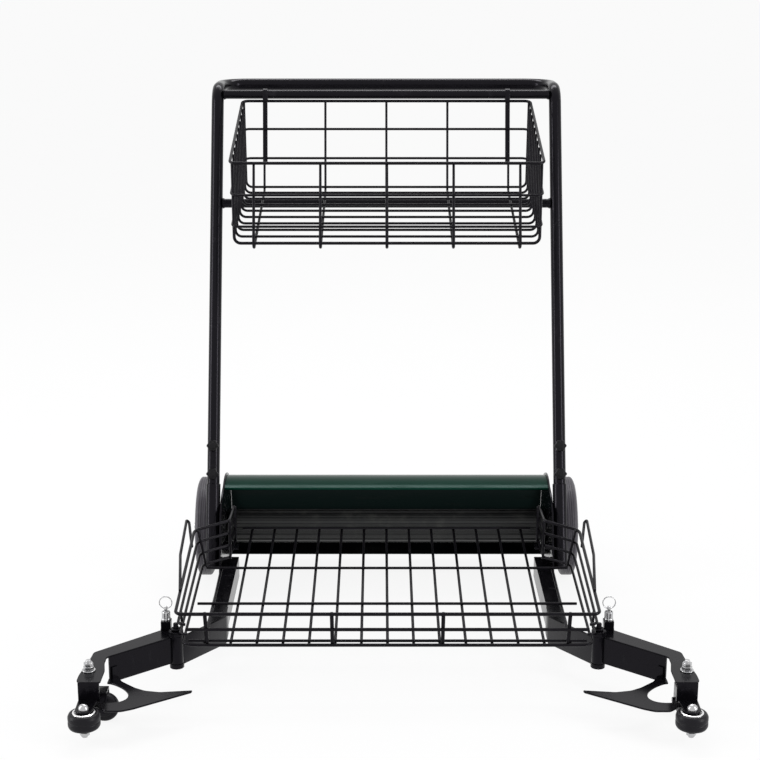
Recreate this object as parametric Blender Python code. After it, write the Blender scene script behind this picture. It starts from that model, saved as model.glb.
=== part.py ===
"""A push cart that picks up tennis balls.

The frame is metres with +Z up. The cart is pushed towards -Y, +X is the right side as seen from the
front, and the floor is z = 0. Two spread arms guide the balls under the lower basket to a drum on the
wheels' axle. The drum rolls each ball up the inside of the curved hood and drops it into the basket.
"""

import math

import bmesh
import bpy
from mathutils import Matrix, Quaternion, Vector

# Driving dimensions
GAP = 0.0003
SHEET = 0.003

WHEEL_RADIUS = 0.089
WHEEL_INNER_X = 0.3125
WHEEL_WIDTH = 0.027
AXLE_Y = 0.192
AXLE_RADIUS = 0.006
AXLE_HALF = 0.349

DRUM_RADIUS = 0.030
DRUM_HALF = 0.284
DRUM_RIBS = 14

PLATE_INNER_X = 0.289
HOOD_RADIUS = 0.0925
HOOD_SHEET = 0.0018
HOOD_LIP_ANGLE = math.radians(65.6)
HOOD_TAIL_ANGLE = math.radians(235.0)

RAIL_INNER_X = 0.2615
RAIL_OUTER_X = 0.2887
RAIL_BOTTOM, RAIL_TOP = 0.025, 0.062
RAIL_FRONT_Y, RAIL_REAR_Y = -0.186, 0.105

TUBE_X = 0.305
TUBE_LEAN = math.radians(21.33)
TUBE_FOOT_Y, TUBE_FOOT_Z = 0.0675, 0.057
LOWER_TUBE_RADIUS = 0.0125
LOWER_TUBE_TOP_Z = 0.193
SPIGOT_RADIUS = 0.0094
SPIGOT_TOP_Z = 0.280
UPPER_TUBE_RADIUS = 0.0112
UPPER_TUBE_BORE = 0.0097
HANDLE_Z = 0.858
HANDLE_REAR_Y = 0.4843
HANDLE_BACK_BEND = 0.039
HANDLE_CORNER_BEND = 0.048
CROSS_TUBE_RADIUS = 0.008
UPPER_CROSS_Z = 0.849
LOWER_CROSS_Z = 0.662
KNOB_HEIGHTS = (0.208, 0.254)
KNOB_RADIUS = 0.0108
KNOB_NUT_OUT = 0.0150
KNOB_SCREW_TIP = 0.0124

HINGE_X, HINGE_Y = 0.327, -0.275
SLEEVE_RADIUS = 0.010
SLEEVE_BOTTOM, SLEEVE_TOP = 0.034, 0.079
PIN_RADIUS = 0.005
ARM_ANGLE = math.radians(-39.4)
WEB_LENGTH = 0.118
PLUNGER_X, PLUNGER_Y = 0.345, -0.249

KINGPIN_X, KINGPIN_Y = 0.440, -0.403
CASTER_TRAIL = 0.021
CASTER_RADIUS = 0.0215
CASTER_WIDTH = 0.018
CASTER_TURN = {"left": 0.0, "right": math.radians(90.0)}

ROLLER_X, ROLLER_Y = 0.437, -0.472
ROLLER_RADIUS = 0.0235
ROLLER_BOTTOM, ROLLER_TOP = 0.022, 0.046

WIRE = 0.004
WIRE_OVERLAP = 0.0006

LOWER_FRONT_Y = -0.313
LOWER_CORNER_Y = -0.021
LOWER_BEND_Y = 0.017
LOWER_REAR_Y = 0.146
LOWER_WALL_END_Y = 0.092
LOWER_FLOOR_FRONT_Z = 0.0795
LOWER_FLOOR_RISE = 0.0436
LOWER_HALF_BOTTOM, LOWER_HALF_TOP = 0.311, 0.321
LOWER_HALF_REAR = 0.264

UPPER_FRONT_Y, UPPER_FRONT_TOP_Y = 0.042, 0.080
UPPER_REAR_Y, UPPER_REAR_TOP_Y = 0.327, 0.365
UPPER_FRONT_Z, UPPER_FRONT_TOP_Z = 0.620, 0.763
UPPER_REAR_Z, UPPER_REAR_TOP_Z = 0.679, 0.838
UPPER_HALF_BOTTOM, UPPER_HALF_TOP = 0.252, 0.258

SIDES = {"left": -1, "right": 1}


# Tools

def clear_scene():
    for item in list(bpy.data.objects):
        bpy.data.objects.remove(item, do_unlink=True)


def material(name, color, roughness, metallic=0.0):
    """A Principled material of one colour."""
    made = bpy.data.materials.new(name)
    made.use_nodes = True
    shader = made.node_tree.nodes["Principled BSDF"]
    shader.inputs["Base Color"].default_value = (*color, 1.0)
    shader.inputs["Roughness"].default_value = roughness
    shader.inputs["Metallic"].default_value = metallic
    return made


def joint_empty(name, location, turn=0.0, parent=None):
    """An empty on a joint's axis, which carries the pieces that move together."""
    made = bpy.data.objects.new(name, None)
    bpy.context.scene.collection.objects.link(made)
    made.empty_display_size = 0.03
    place = Matrix.Translation(location) @ Matrix.Rotation(turn, 4, "Z")
    if parent is not None:
        made.parent = parent
        place = parent.matrix_world.inverted() @ place
    made.matrix_basis = place
    bpy.context.view_layer.update()
    return made


def add_piece(name, mesh, finish, carrier):
    """A named object from a mesh in the cart's frame, carried by an empty."""
    mesh.transform(carrier.matrix_world.inverted())
    mesh.materials.clear()
    mesh.materials.append(finish)
    mesh.shade_smooth()
    mesh.set_sharp_from_angle(angle=math.radians(35.0))
    made = bpy.data.objects.new(name, mesh)
    made.parent = carrier
    bpy.context.scene.collection.objects.link(made)
    return made


def mesh_from(bm):
    """Closes a bmesh into a mesh whose faces point out."""
    bmesh.ops.remove_doubles(bm, verts=bm.verts, dist=1e-6)
    bmesh.ops.recalc_face_normals(bm, faces=bm.faces)
    mesh = bpy.data.meshes.new("shape")
    bm.to_mesh(mesh)
    bm.free()
    return mesh


def mirrored(mesh):
    """The same shape on the other side of x = 0."""
    copy = mesh.copy()
    copy.transform(Matrix.Scale(-1.0, 4, (1.0, 0.0, 0.0)))
    copy.flip_normals()
    return copy


def combined(base, tools, operation="UNION"):
    """The exact Boolean of a mesh with each of the other meshes in turn."""
    for tool in tools:
        first = bpy.data.objects.new("first", base)
        second = bpy.data.objects.new("second", tool)
        bpy.context.scene.collection.objects.link(first)
        bpy.context.scene.collection.objects.link(second)
        step = first.modifiers.new("step", "BOOLEAN")
        step.operation = operation
        step.object = second
        graph = bpy.context.evaluated_depsgraph_get()
        base = bpy.data.meshes.new_from_object(first.evaluated_get(graph))
        bpy.data.objects.remove(first)
        bpy.data.objects.remove(second)
    return base


def joined(meshes):
    """Separate bodies side by side in one mesh."""
    bm = bmesh.new()
    for mesh in meshes:
        bm.from_mesh(mesh)
    return mesh_from(bm)


def prism(outline, start, end, plane="XY"):
    """An outline in one plane, extruded along the plane's normal from start to end."""
    across = {"XY": (0, 1, 2), "YZ": (1, 2, 0), "XZ": (0, 2, 1)}[plane]
    bm = bmesh.new()
    ring = []
    for first, second in outline:
        point = Vector((0.0, 0.0, 0.0))
        point[across[0]] = first
        point[across[1]] = second
        point[across[2]] = start
        ring.append(bm.verts.new(point))
    face = bm.faces.new(ring)
    made = bmesh.ops.extrude_face_region(bm, geom=[face])
    shift = Vector((0.0, 0.0, 0.0))
    shift[across[2]] = end - start
    moved = [item for item in made["geom"] if isinstance(item, bmesh.types.BMVert)]
    bmesh.ops.translate(bm, verts=moved, vec=shift)
    return mesh_from(bm)


def turned(profile, steps, place=None):
    """A closed profile of (radius, height) turned about +Z, then set in place."""
    bm = bmesh.new()
    ring = [bm.verts.new((radius, 0.0, height)) for radius, height in profile]
    edges = [bm.edges.new((a, b)) for a, b in zip(ring, ring[1:] + ring[:1])]
    bmesh.ops.spin(
        bm,
        geom=ring + edges,
        cent=(0.0, 0.0, 0.0),
        axis=(0.0, 0.0, 1.0),
        angle=math.tau,
        steps=steps,
        use_merge=True,
    )
    bmesh.ops.dissolve_degenerate(bm, dist=1e-7, edges=bm.edges)
    mesh = mesh_from(bm)
    mesh.transform(place or Matrix())
    return mesh


def rod(start, end, radius, sides=16):
    """A round bar between two points, with a side of its outline straight down."""
    start, end = Vector(start), Vector(end)
    bm = bmesh.new()
    bmesh.ops.create_cone(
        bm,
        cap_ends=True,
        segments=sides,
        radius1=radius,
        radius2=radius,
        depth=(end - start).length,
    )
    mesh = mesh_from(bm)
    turn = (end - start).to_track_quat("Z", "Y").to_matrix().to_4x4()
    mesh.transform(Matrix.Translation((start + end) / 2.0) @ turn)
    return mesh


def bar(start, end, normal, wide, thick):
    """A flat bar between two points; its thickness lies along the normal."""
    start, end = Vector(start), Vector(end)
    along = (end - start).normalized()
    across = along.cross(Vector(normal)).normalized() * (wide / 2.0)
    up = across.cross(along).normalized() * (thick / 2.0)
    corners = [across + up, up - across, -across - up, across - up]
    bm = bmesh.new()
    near = [bm.verts.new(start + corner) for corner in corners]
    far = [bm.verts.new(end + corner) for corner in corners]
    bm.faces.new(near)
    bm.faces.new(far[::-1])
    for i in range(4):
        bm.faces.new((near[i], near[i - 1], far[i - 1], far[i]))
    return mesh_from(bm)


def swept(points, radius, sides=12):
    """A round bar along a path of points, mitred at each of them."""
    points = [Vector(point) for point in points]
    bm = bmesh.new()
    rings = []
    side = Vector((0.0, 0.0, 0.0))
    for i, point in enumerate(points):
        before = (point - points[i - 1]).normalized() if i else None
        after = (points[i + 1] - point).normalized() if i + 1 < len(points) else None
        along = ((before or after) + (after or before)).normalized()
        if not rings:
            side = along.orthogonal().normalized()
        side = (side - along * side.dot(along)).normalized()
        other = along.cross(side)
        ring = []
        for k in range(sides):
            turn = math.tau * k / sides
            spoke = side * math.cos(turn) + other * math.sin(turn)
            ring.append(bm.verts.new(point + spoke * radius))
        rings.append(ring)
    for near, far in zip(rings, rings[1:]):
        for k in range(sides):
            bm.faces.new((near[k - 1], near[k], far[k], far[k - 1]))
    bm.faces.new(rings[0])
    bm.faces.new(rings[-1][::-1])
    return mesh_from(bm)


def rounded_path(corners, radii, steps=5):
    """The corners of a path with each inner one replaced by an arc of its radius."""
    corners = [Vector(corner) for corner in corners]
    path = [corners[0]]
    for before, corner, after, radius in zip(corners, corners[1:], corners[2:], radii):
        inward = (before - corner).normalized()
        outward = (after - corner).normalized()
        half = inward.angle(outward) / 2.0
        reach = radius / math.tan(half)
        centre = corner + (inward + outward).normalized() * (radius / math.sin(half))
        start = corner + inward * reach - centre
        end = corner + outward * reach - centre
        turn = start.rotation_difference(end)
        for k in range(steps + 1):
            path.append(centre + Quaternion().slerp(turn, k / steps) @ start)
    path.append(corners[-1])
    return path


def arc(centre, radius, start, end, steps):
    """Points on an arc, with both angles in radians."""
    turns = [start + (end - start) * k / steps for k in range(steps + 1)]
    return [(centre[0] + radius * math.cos(t), centre[1] + radius * math.sin(t)) for t in turns]


def tube_point(height, forward=0.0):
    """A point on the leaning tube's centre line in (y, z), or that far in front of it."""
    y = TUBE_FOOT_Y + (height - TUBE_FOOT_Z) * math.tan(TUBE_LEAN)
    return (y - forward * math.cos(TUBE_LEAN), height + forward * math.sin(TUBE_LEAN))


def panel(corners, rails, posts, wire=WIRE, flip=1.0):
    """A welded wire panel: rails on its outer side cross posts on its inner side.

    The corners run bottom left, bottom right, top right, top left. Each rail is a pair of heights,
    at the left edge and at the right edge, and each post is a place along the panel, all from 0 to 1.
    """
    low_left, low_right, high_right, high_left = (Vector(corner) for corner in corners)
    normal = (low_right - low_left).cross(high_left - low_left).normalized() * flip
    shift = normal * ((wire - WIRE_OVERLAP) / 2.0)
    along = (low_right - low_left).normalized() * (wire * 0.8)
    rail_bars = []
    for left, right in rails:
        start = low_left.lerp(high_left, left) - along + shift
        end = low_right.lerp(high_right, right) + along + shift
        rail_bars.append(bar(start, end, normal, wire, wire))
    post_bars = []
    for place in posts:
        bottom = low_left.lerp(low_right, place)
        top = high_left.lerp(high_right, place)
        rise = (top - bottom).normalized() * (wire * 0.7)
        post_bars.append(bar(bottom - rise - shift, top + rise - shift, normal, wire, wire))
    return combined(joined(rail_bars), [joined(post_bars)])


# Materials

def make_materials():
    return {
        "black": material("black_powder_coat", (0.012, 0.011, 0.014), 0.32),
        "green": material("green_paint", (0.004, 0.040, 0.024), 0.35),
        "rubber": material("grey_rubber", (0.035, 0.033, 0.037), 0.62),
        "plastic": material("black_plastic", (0.015, 0.015, 0.017), 0.45),
        "steel": material("bright_steel", (0.62, 0.63, 0.65), 0.25, 1.0),
        "drum": material("drum_grip", (0.030, 0.032, 0.034), 0.55),
    }


# Fixed frame

def hood_mesh():
    """A sheet bent on an arc about the axle, from the front lip over the drum and down behind it."""
    centre = (AXLE_Y, WHEEL_RADIUS)
    start = math.pi - HOOD_LIP_ANGLE
    end = math.pi - HOOD_TAIL_ANGLE
    outer = arc(centre, HOOD_RADIUS, start, end, 22)
    inner = arc(centre, HOOD_RADIUS - HOOD_SHEET, end, start, 22)
    half = PLATE_INNER_X - GAP
    sheet = prism(outer + inner, -half, half, "YZ")
    lip_y, lip_z = outer[0]
    hem = rod((-half, lip_y, lip_z - 0.001), (half, lip_y, lip_z - 0.001), 0.0021, 10)
    return combined(sheet, [hem])


def side_plate_mesh():
    """The plate that closes the hood's right end, carries the axle's bush and takes the tube."""
    centre = (AXLE_Y, WHEEL_RADIUS)
    radius = HOOD_RADIUS + 0.004
    bottom = 0.013
    rear = -math.asin((WHEEL_RADIUS - bottom) / radius)
    outline = [(0.100, bottom), (0.046, RAIL_BOTTOM), (0.046, 0.050), (0.086, 0.150), (0.118, 0.173)]
    outline += arc(centre, radius, math.pi - HOOD_LIP_ANGLE, rear, 16)
    plate = prism(outline, PLATE_INNER_X, PLATE_INNER_X + SHEET, "YZ")
    bore = rod(
        (PLATE_INNER_X - 0.01, AXLE_Y, WHEEL_RADIUS),
        (PLATE_INNER_X + 0.01, AXLE_Y, WHEEL_RADIUS),
        AXLE_RADIUS + 0.0053,
        20,
    )
    plate = combined(plate, [bore], "DIFFERENCE")
    ledge_outline = [(0.259, 0.0900), (0.259, 0.0925), (0.2912, 0.0925), (0.2912, 0.080)]
    ledge_outline += [(0.2885, 0.080), (0.2885, 0.0900)]
    ledge = prism(ledge_outline, 0.066, 0.090, "XZ")
    return combined(plate, [ledge])


def side_rail_mesh():
    """A channel that is open below; balls run along its inner wall."""
    wall = 0.0025
    outer = [(RAIL_INNER_X, RAIL_BOTTOM), (RAIL_INNER_X, RAIL_TOP)]
    outer += [(RAIL_OUTER_X, RAIL_TOP), (RAIL_OUTER_X, RAIL_BOTTOM)]
    inner = [(RAIL_OUTER_X - wall, RAIL_BOTTOM), (RAIL_OUTER_X - wall, RAIL_TOP - wall)]
    inner += [(RAIL_INNER_X + wall, RAIL_TOP - wall), (RAIL_INNER_X + wall, RAIL_BOTTOM)]
    return prism(outer + inner, RAIL_FRONT_Y, RAIL_REAR_Y, "XZ")


def corner_bracket_mesh():
    """The folded bracket that carries the right arm's hinge, with the plate that its pin locks in."""
    centre = (HINGE_X, HINGE_Y)
    near, far = SLEEVE_RADIUS + 0.0009, SLEEVE_RADIUS + 0.0045
    lug = SLEEVE_RADIUS + 0.0013
    start, end = math.radians(80.0), math.radians(135.0)
    riser = prism(arc(centre, far, start, end, 4) + arc(centre, near, end, start, 4), 0.026, 0.084)
    low_lug = turned(
        [(PIN_RADIUS + GAP, 0.0262), (lug, 0.0262), (lug, SLEEVE_BOTTOM - 0.0005),
         (PIN_RADIUS + GAP, SLEEVE_BOTTOM - 0.0005)],
        12, Matrix.Translation((HINGE_X, HINGE_Y, 0.0)),
    )
    high_lug = turned(
        [(PIN_RADIUS + GAP, SLEEVE_TOP + 0.0005), (lug, SLEEVE_TOP + 0.0005), (lug, 0.0845),
         (PIN_RADIUS + GAP, 0.0845)],
        12, Matrix.Translation((HINGE_X, HINGE_Y, 0.0)),
    )
    lock_start, lock_end = math.radians(-4.0), math.radians(92.0)
    lock_near, lock_far = SLEEVE_RADIUS + 0.0007, 0.0395
    lock_plate = prism(
        arc(centre, lock_far, lock_start, lock_end, 6)
        + arc(centre, lock_near, lock_end, lock_start, 3),
        0.0705, 0.0735,
    )
    outer = [(0.3225, -0.2630), (0.2612, -0.1870), (0.2612, -0.1450)]
    inner = [(0.2582, -0.1450), (0.2582, -0.1881), (0.3185, -0.2660)]
    funnel = prism(outer + inner, 0.0262, 0.0715)
    solid = combined(riser, [low_lug, high_lug, lock_plate, funnel])
    reach = math.hypot(PLUNGER_X - HINGE_X, PLUNGER_Y - HINGE_Y)
    locked = math.atan2(PLUNGER_Y - HINGE_Y, PLUNGER_X - HINGE_X)
    cutters = []
    for angle in (locked, locked - math.radians(50.0)):
        x = HINGE_X + reach * math.cos(angle)
        y = HINGE_Y + reach * math.sin(angle)
        cutters.append(rod((x, y, 0.060), (x, y, 0.080), 0.0044, 8))
    return combined(solid, cutters, "DIFFERENCE")


def hinge_pin_mesh():
    """The arm's pin: a nut below, a washer above and a stud that the basket's hook drops over."""
    profile = [(0.0, 0.0175), (0.0085, 0.0175), (0.0085, 0.0257), (PIN_RADIUS, 0.0257)]
    profile += [(PIN_RADIUS, 0.0848), (0.0110, 0.0848), (0.0110, 0.0872), (0.0040, 0.0872)]
    profile += [(0.0040, 0.0985), (0.0032, 0.0995), (0.0, 0.0995)]
    return turned(profile, 12, Matrix.Translation((HINGE_X, HINGE_Y, 0.0)))


def lower_tube_mesh():
    """The right lower tube with the narrower spigot that the handle's tube slides over."""
    length = (LOWER_TUBE_TOP_Z - TUBE_FOOT_Z) / math.cos(TUBE_LEAN)
    reach = (SPIGOT_TOP_Z - TUBE_FOOT_Z) / math.cos(TUBE_LEAN)
    rim = 0.0015
    profile = [(0.0, 0.0), (LOWER_TUBE_RADIUS - rim, 0.0), (LOWER_TUBE_RADIUS, rim)]
    profile += [(LOWER_TUBE_RADIUS, length - rim), (LOWER_TUBE_RADIUS - rim, length)]
    profile += [(SPIGOT_RADIUS, length), (SPIGOT_RADIUS, reach - rim), (SPIGOT_RADIUS - rim, reach)]
    profile += [(0.0, reach)]
    place = Matrix.Translation((TUBE_X, TUBE_FOOT_Y, TUBE_FOOT_Z))
    place = place @ Matrix.Rotation(-TUBE_LEAN, 4, "X")
    return turned(profile, 14, place)


def axle_bush_mesh():
    """A flanged bush in the right side plate."""
    inner, outer = AXLE_RADIUS + GAP, AXLE_RADIUS + 0.005
    plate_out = PLATE_INNER_X + SHEET + GAP
    profile = [(inner, PLATE_INNER_X - 0.0035), (outer, PLATE_INNER_X - 0.0035)]
    profile += [(outer, plate_out), (0.0165, plate_out), (0.0165, plate_out + 0.0028)]
    profile += [(inner, plate_out + 0.0028)]
    place = Matrix.Translation((0.0, AXLE_Y, WHEEL_RADIUS)) @ Matrix.Rotation(math.pi / 2, 4, "Y")
    return turned(profile, 12, place)


def build_frame(finish, cart):
    add_piece("hood", hood_mesh(), finish["green"], cart)
    makers = {
        "side_plate": (side_plate_mesh, "black"),
        "side_rail": (side_rail_mesh, "black"),
        "corner_bracket": (corner_bracket_mesh, "black"),
        "hinge_pin": (hinge_pin_mesh, "steel"),
        "lower_tube": (lower_tube_mesh, "black"),
        "axle_bush": (axle_bush_mesh, "plastic"),
    }
    for name, (maker, slot) in makers.items():
        mesh = maker()
        add_piece(f"{name}_left", mirrored(mesh), finish[slot], cart)
        add_piece(f"{name}_right", mesh, finish[slot], cart)


# Drum and road wheels

def drum_mesh():
    """A roller whose raised ribs run along it and grip the balls."""
    outline = []
    pitch = math.tau / DRUM_RIBS
    for k in range(DRUM_RIBS):
        for share, radius in ((0.0, -0.0022), (0.50, -0.0022), (0.58, 0.0), (0.92, 0.0)):
            angle = (k + share) * pitch
            reach = DRUM_RADIUS + radius
            outline.append(
                (AXLE_Y + reach * math.cos(angle), WHEEL_RADIUS + reach * math.sin(angle))
            )
    solid = prism(outline, -DRUM_HALF, DRUM_HALF, "YZ")
    bore = rod(
        (-0.3, AXLE_Y, WHEEL_RADIUS), (0.3, AXLE_Y, WHEEL_RADIUS), AXLE_RADIUS + GAP, 16
    )
    return combined(solid, [bore], "DIFFERENCE")


def axle_mesh():
    """The through axle with a hexagon nut outside each wheel."""
    shaft = rod((-AXLE_HALF, AXLE_Y, WHEEL_RADIUS), (AXLE_HALF, AXLE_Y, WHEEL_RADIUS), AXLE_RADIUS)
    nuts = []
    for side in (-1, 1):
        start = (side * (AXLE_HALF - 0.011), AXLE_Y, WHEEL_RADIUS)
        end = (side * (AXLE_HALF - 0.003), AXLE_Y, WHEEL_RADIUS)
        nuts.append(rod(start, end, 0.0105, 6))
    return combined(shaft, nuts)


def wheel_place():
    centre = WHEEL_INNER_X + WHEEL_WIDTH / 2.0
    place = Matrix.Translation((centre, AXLE_Y, WHEEL_RADIUS)) @ Matrix.Rotation(math.pi / 2, 4, "Y")
    return place @ Matrix.Rotation(math.pi, 4, "Z")


def tyre_mesh():
    """A solid rubber tyre with a rounded tread."""
    half, rim = WHEEL_WIDTH / 2.0, 0.0665
    profile = [(rim, -half), (WHEEL_RADIUS - 0.008, -half), (WHEEL_RADIUS, -half + 0.007)]
    profile += [(WHEEL_RADIUS, half - 0.007), (WHEEL_RADIUS - 0.008, half), (rim, half)]
    return turned(profile, 32, wheel_place())


def hub_mesh():
    """A dished plastic wheel centre with five round holes through its web."""
    rim, boss = 0.0665 - GAP, 0.0165
    bore = AXLE_RADIUS + GAP
    profile = [(bore, -0.0132), (boss, -0.0132), (boss + 0.002, -0.003), (rim - 0.006, -0.002)]
    profile += [(rim - 0.004, -0.0095), (rim, -0.0095), (rim, 0.0095), (rim - 0.004, 0.0095)]
    profile += [(rim - 0.006, 0.002), (boss + 0.002, 0.003), (boss, 0.0109), (bore, 0.0109)]
    solid = turned(profile, 16, wheel_place())
    holes = []
    for k in range(5):
        angle = math.tau * (k + 0.5) / 5
        y = AXLE_Y + 0.0395 * math.sin(angle)
        z = WHEEL_RADIUS + 0.0395 * math.cos(angle)
        holes.append(rod((WHEEL_INNER_X, y, z), (WHEEL_INNER_X + WHEEL_WIDTH, y, z), 0.0115, 6))
    return combined(solid, [joined(holes)], "DIFFERENCE")


def build_drum_axle(finish, cart):
    spin = joint_empty("drum_spin_axis", (0.0, AXLE_Y, WHEEL_RADIUS), parent=cart)
    add_piece("drum", drum_mesh(), finish["drum"], spin)
    add_piece("axle", axle_mesh(), finish["steel"], spin)
    for name, maker, slot in (("tyre", tyre_mesh, "rubber"), ("wheel_hub", hub_mesh, "plastic")):
        mesh = maker()
        add_piece(f"{name}_left", mirrored(mesh), finish[slot], spin)
        add_piece(f"{name}_right", mesh, finish[slot], spin)


# Handle

def handle_mesh():
    """One bent tube: both uprights lean back, bend to the rear and meet in the push bar."""
    seat_z = LOWER_TUBE_TOP_Z + GAP * math.cos(TUBE_LEAN)
    top_y = TUBE_FOOT_Y + (HANDLE_Z - TUBE_FOOT_Z) * math.tan(TUBE_LEAN)
    half = [(TUBE_X, *tube_point(seat_z)), (TUBE_X, top_y, HANDLE_Z), (TUBE_X, HANDLE_REAR_Y, HANDLE_Z)]
    corners = half + [(-x, y, z) for x, y, z in reversed(half)]
    bends = [HANDLE_BACK_BEND, HANDLE_CORNER_BEND, HANDLE_CORNER_BEND, HANDLE_BACK_BEND]
    solid = swept(rounded_path(corners, bends), UPPER_TUBE_RADIUS, 12)
    nuts = []
    cutters = []
    for side in (-1, 1):
        bottom, top = tube_point(seat_z - 0.004), tube_point(SPIGOT_TOP_Z + 0.003)
        start = (side * TUBE_X, *bottom)
        end = (side * TUBE_X, *top)
        cutters.append(rod(start, end, UPPER_TUBE_BORE, 16))
        for height in KNOB_HEIGHTS:
            outside = (side * TUBE_X, *tube_point(height, KNOB_NUT_OUT + 0.002))
            inside = (side * TUBE_X, *tube_point(height))
            face = (side * TUBE_X, *tube_point(height, KNOB_NUT_OUT))
            seat = (side * TUBE_X, *tube_point(height, UPPER_TUBE_RADIUS - 0.001))
            nuts.append(rod(seat, face, 0.0064, 6))
            cutters.append(rod(outside, inside, 0.0034, 8))
    return combined(combined(solid, nuts), cutters, "DIFFERENCE")


def cross_tube_mesh(height):
    """A straight tube between the uprights."""
    reach = TUBE_X - UPPER_TUBE_RADIUS - GAP
    y, z = tube_point(height)
    return rod((-reach, y, z), (reach, y, z), CROSS_TUBE_RADIUS, 16)


def knob_mesh(side, height):
    """A star knob on its clamping screw, which stands a few turns open in its nut."""
    outline = []
    lobes = 6
    for k in range(lobes * 2):
        angle = math.tau * k / (lobes * 2)
        dent = 0.0016 * (1.0 - math.cos(lobes * angle))
        radius = KNOB_RADIUS - dent
        outline.append((radius * math.cos(angle), radius * math.sin(angle)))
    near, far = KNOB_NUT_OUT + 0.0012, KNOB_NUT_OUT + 0.0112
    head = prism(outline, near, far)
    cap = rod((0, 0, near + 0.005), (0, 0, far + 0.0015), 0.0055, 10)
    stem = rod((0, 0, KNOB_SCREW_TIP), (0, 0, near + 0.003), 0.0029, 8)
    mesh = combined(head, [stem, cap])
    place = Matrix.Translation((side * TUBE_X, *tube_point(height)))
    mesh.transform(place @ Matrix.Rotation(math.pi / 2 - TUBE_LEAN, 4, "X"))
    return mesh


def build_handle(finish, cart):
    seat = tube_point(LOWER_TUBE_TOP_Z)
    handle = joint_empty("handle_slide_axis", (0.0, *seat), parent=cart)
    add_piece("handle_tube", handle_mesh(), finish["black"], handle)
    add_piece("upper_cross_tube", cross_tube_mesh(UPPER_CROSS_Z), finish["black"], handle)
    add_piece("lower_cross_tube", cross_tube_mesh(LOWER_CROSS_Z), finish["black"], handle)
    for name, side in SIDES.items():
        for level, height in zip(("lower", "upper"), KNOB_HEIGHTS):
            axis = joint_empty(
                f"knob_{level}_{name}_axis", (side * TUBE_X, *tube_point(height)), parent=handle
            )
            add_piece(f"knob_{level}_{name}", knob_mesh(side, height), finish["plastic"], axis)
    return handle


# Upper basket

def rail_heights(front, rear):
    """Each rail's place between the basket's floor line and its top, at both ends."""
    front_tall = UPPER_FRONT_TOP_Z - UPPER_FRONT_Z
    rear_tall = UPPER_REAR_TOP_Z - UPPER_REAR_Z
    return [
        ((a - UPPER_FRONT_Z) / front_tall, (b - UPPER_REAR_Z) / rear_tall)
        for a, b in zip(front, rear)
    ]


def along_width(places, half):
    return [(place + half) / (2.0 * half) for place in places]


def hook_strap_mesh(x):
    """A flat strap from the rear wall over the upper cross tube, curled down behind it."""
    centre = tube_point(UPPER_CROSS_Z)
    half = 0.001
    reach = CROSS_TUBE_RADIUS + 0.0004
    slope = (UPPER_REAR_TOP_Y - UPPER_REAR_Y) / (UPPER_REAR_TOP_Z - UPPER_REAR_Z)
    low_z, high_z = 0.730, 0.826
    low_y = UPPER_REAR_Y + (low_z - UPPER_REAR_Z) * slope + 0.0042
    high_y = UPPER_REAR_Y + (high_z - UPPER_REAR_Z) * slope + 0.0042
    near = arc(centre, reach, math.pi, 0.0, 8)
    far = arc(centre, reach + 2.0 * half, 0.0, math.pi, 8)
    tail = [(centre[0] + reach, 0.838), (centre[0] + reach + 2.0 * half, 0.838)]
    outline = [(low_y + half, low_z), (high_y + half, high_z)] + near + tail + far
    outline += [(high_y - half, high_z + 0.003), (low_y - half, low_z)]
    return prism(outline, x - 0.00425, x + 0.00425, "YZ")


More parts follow.
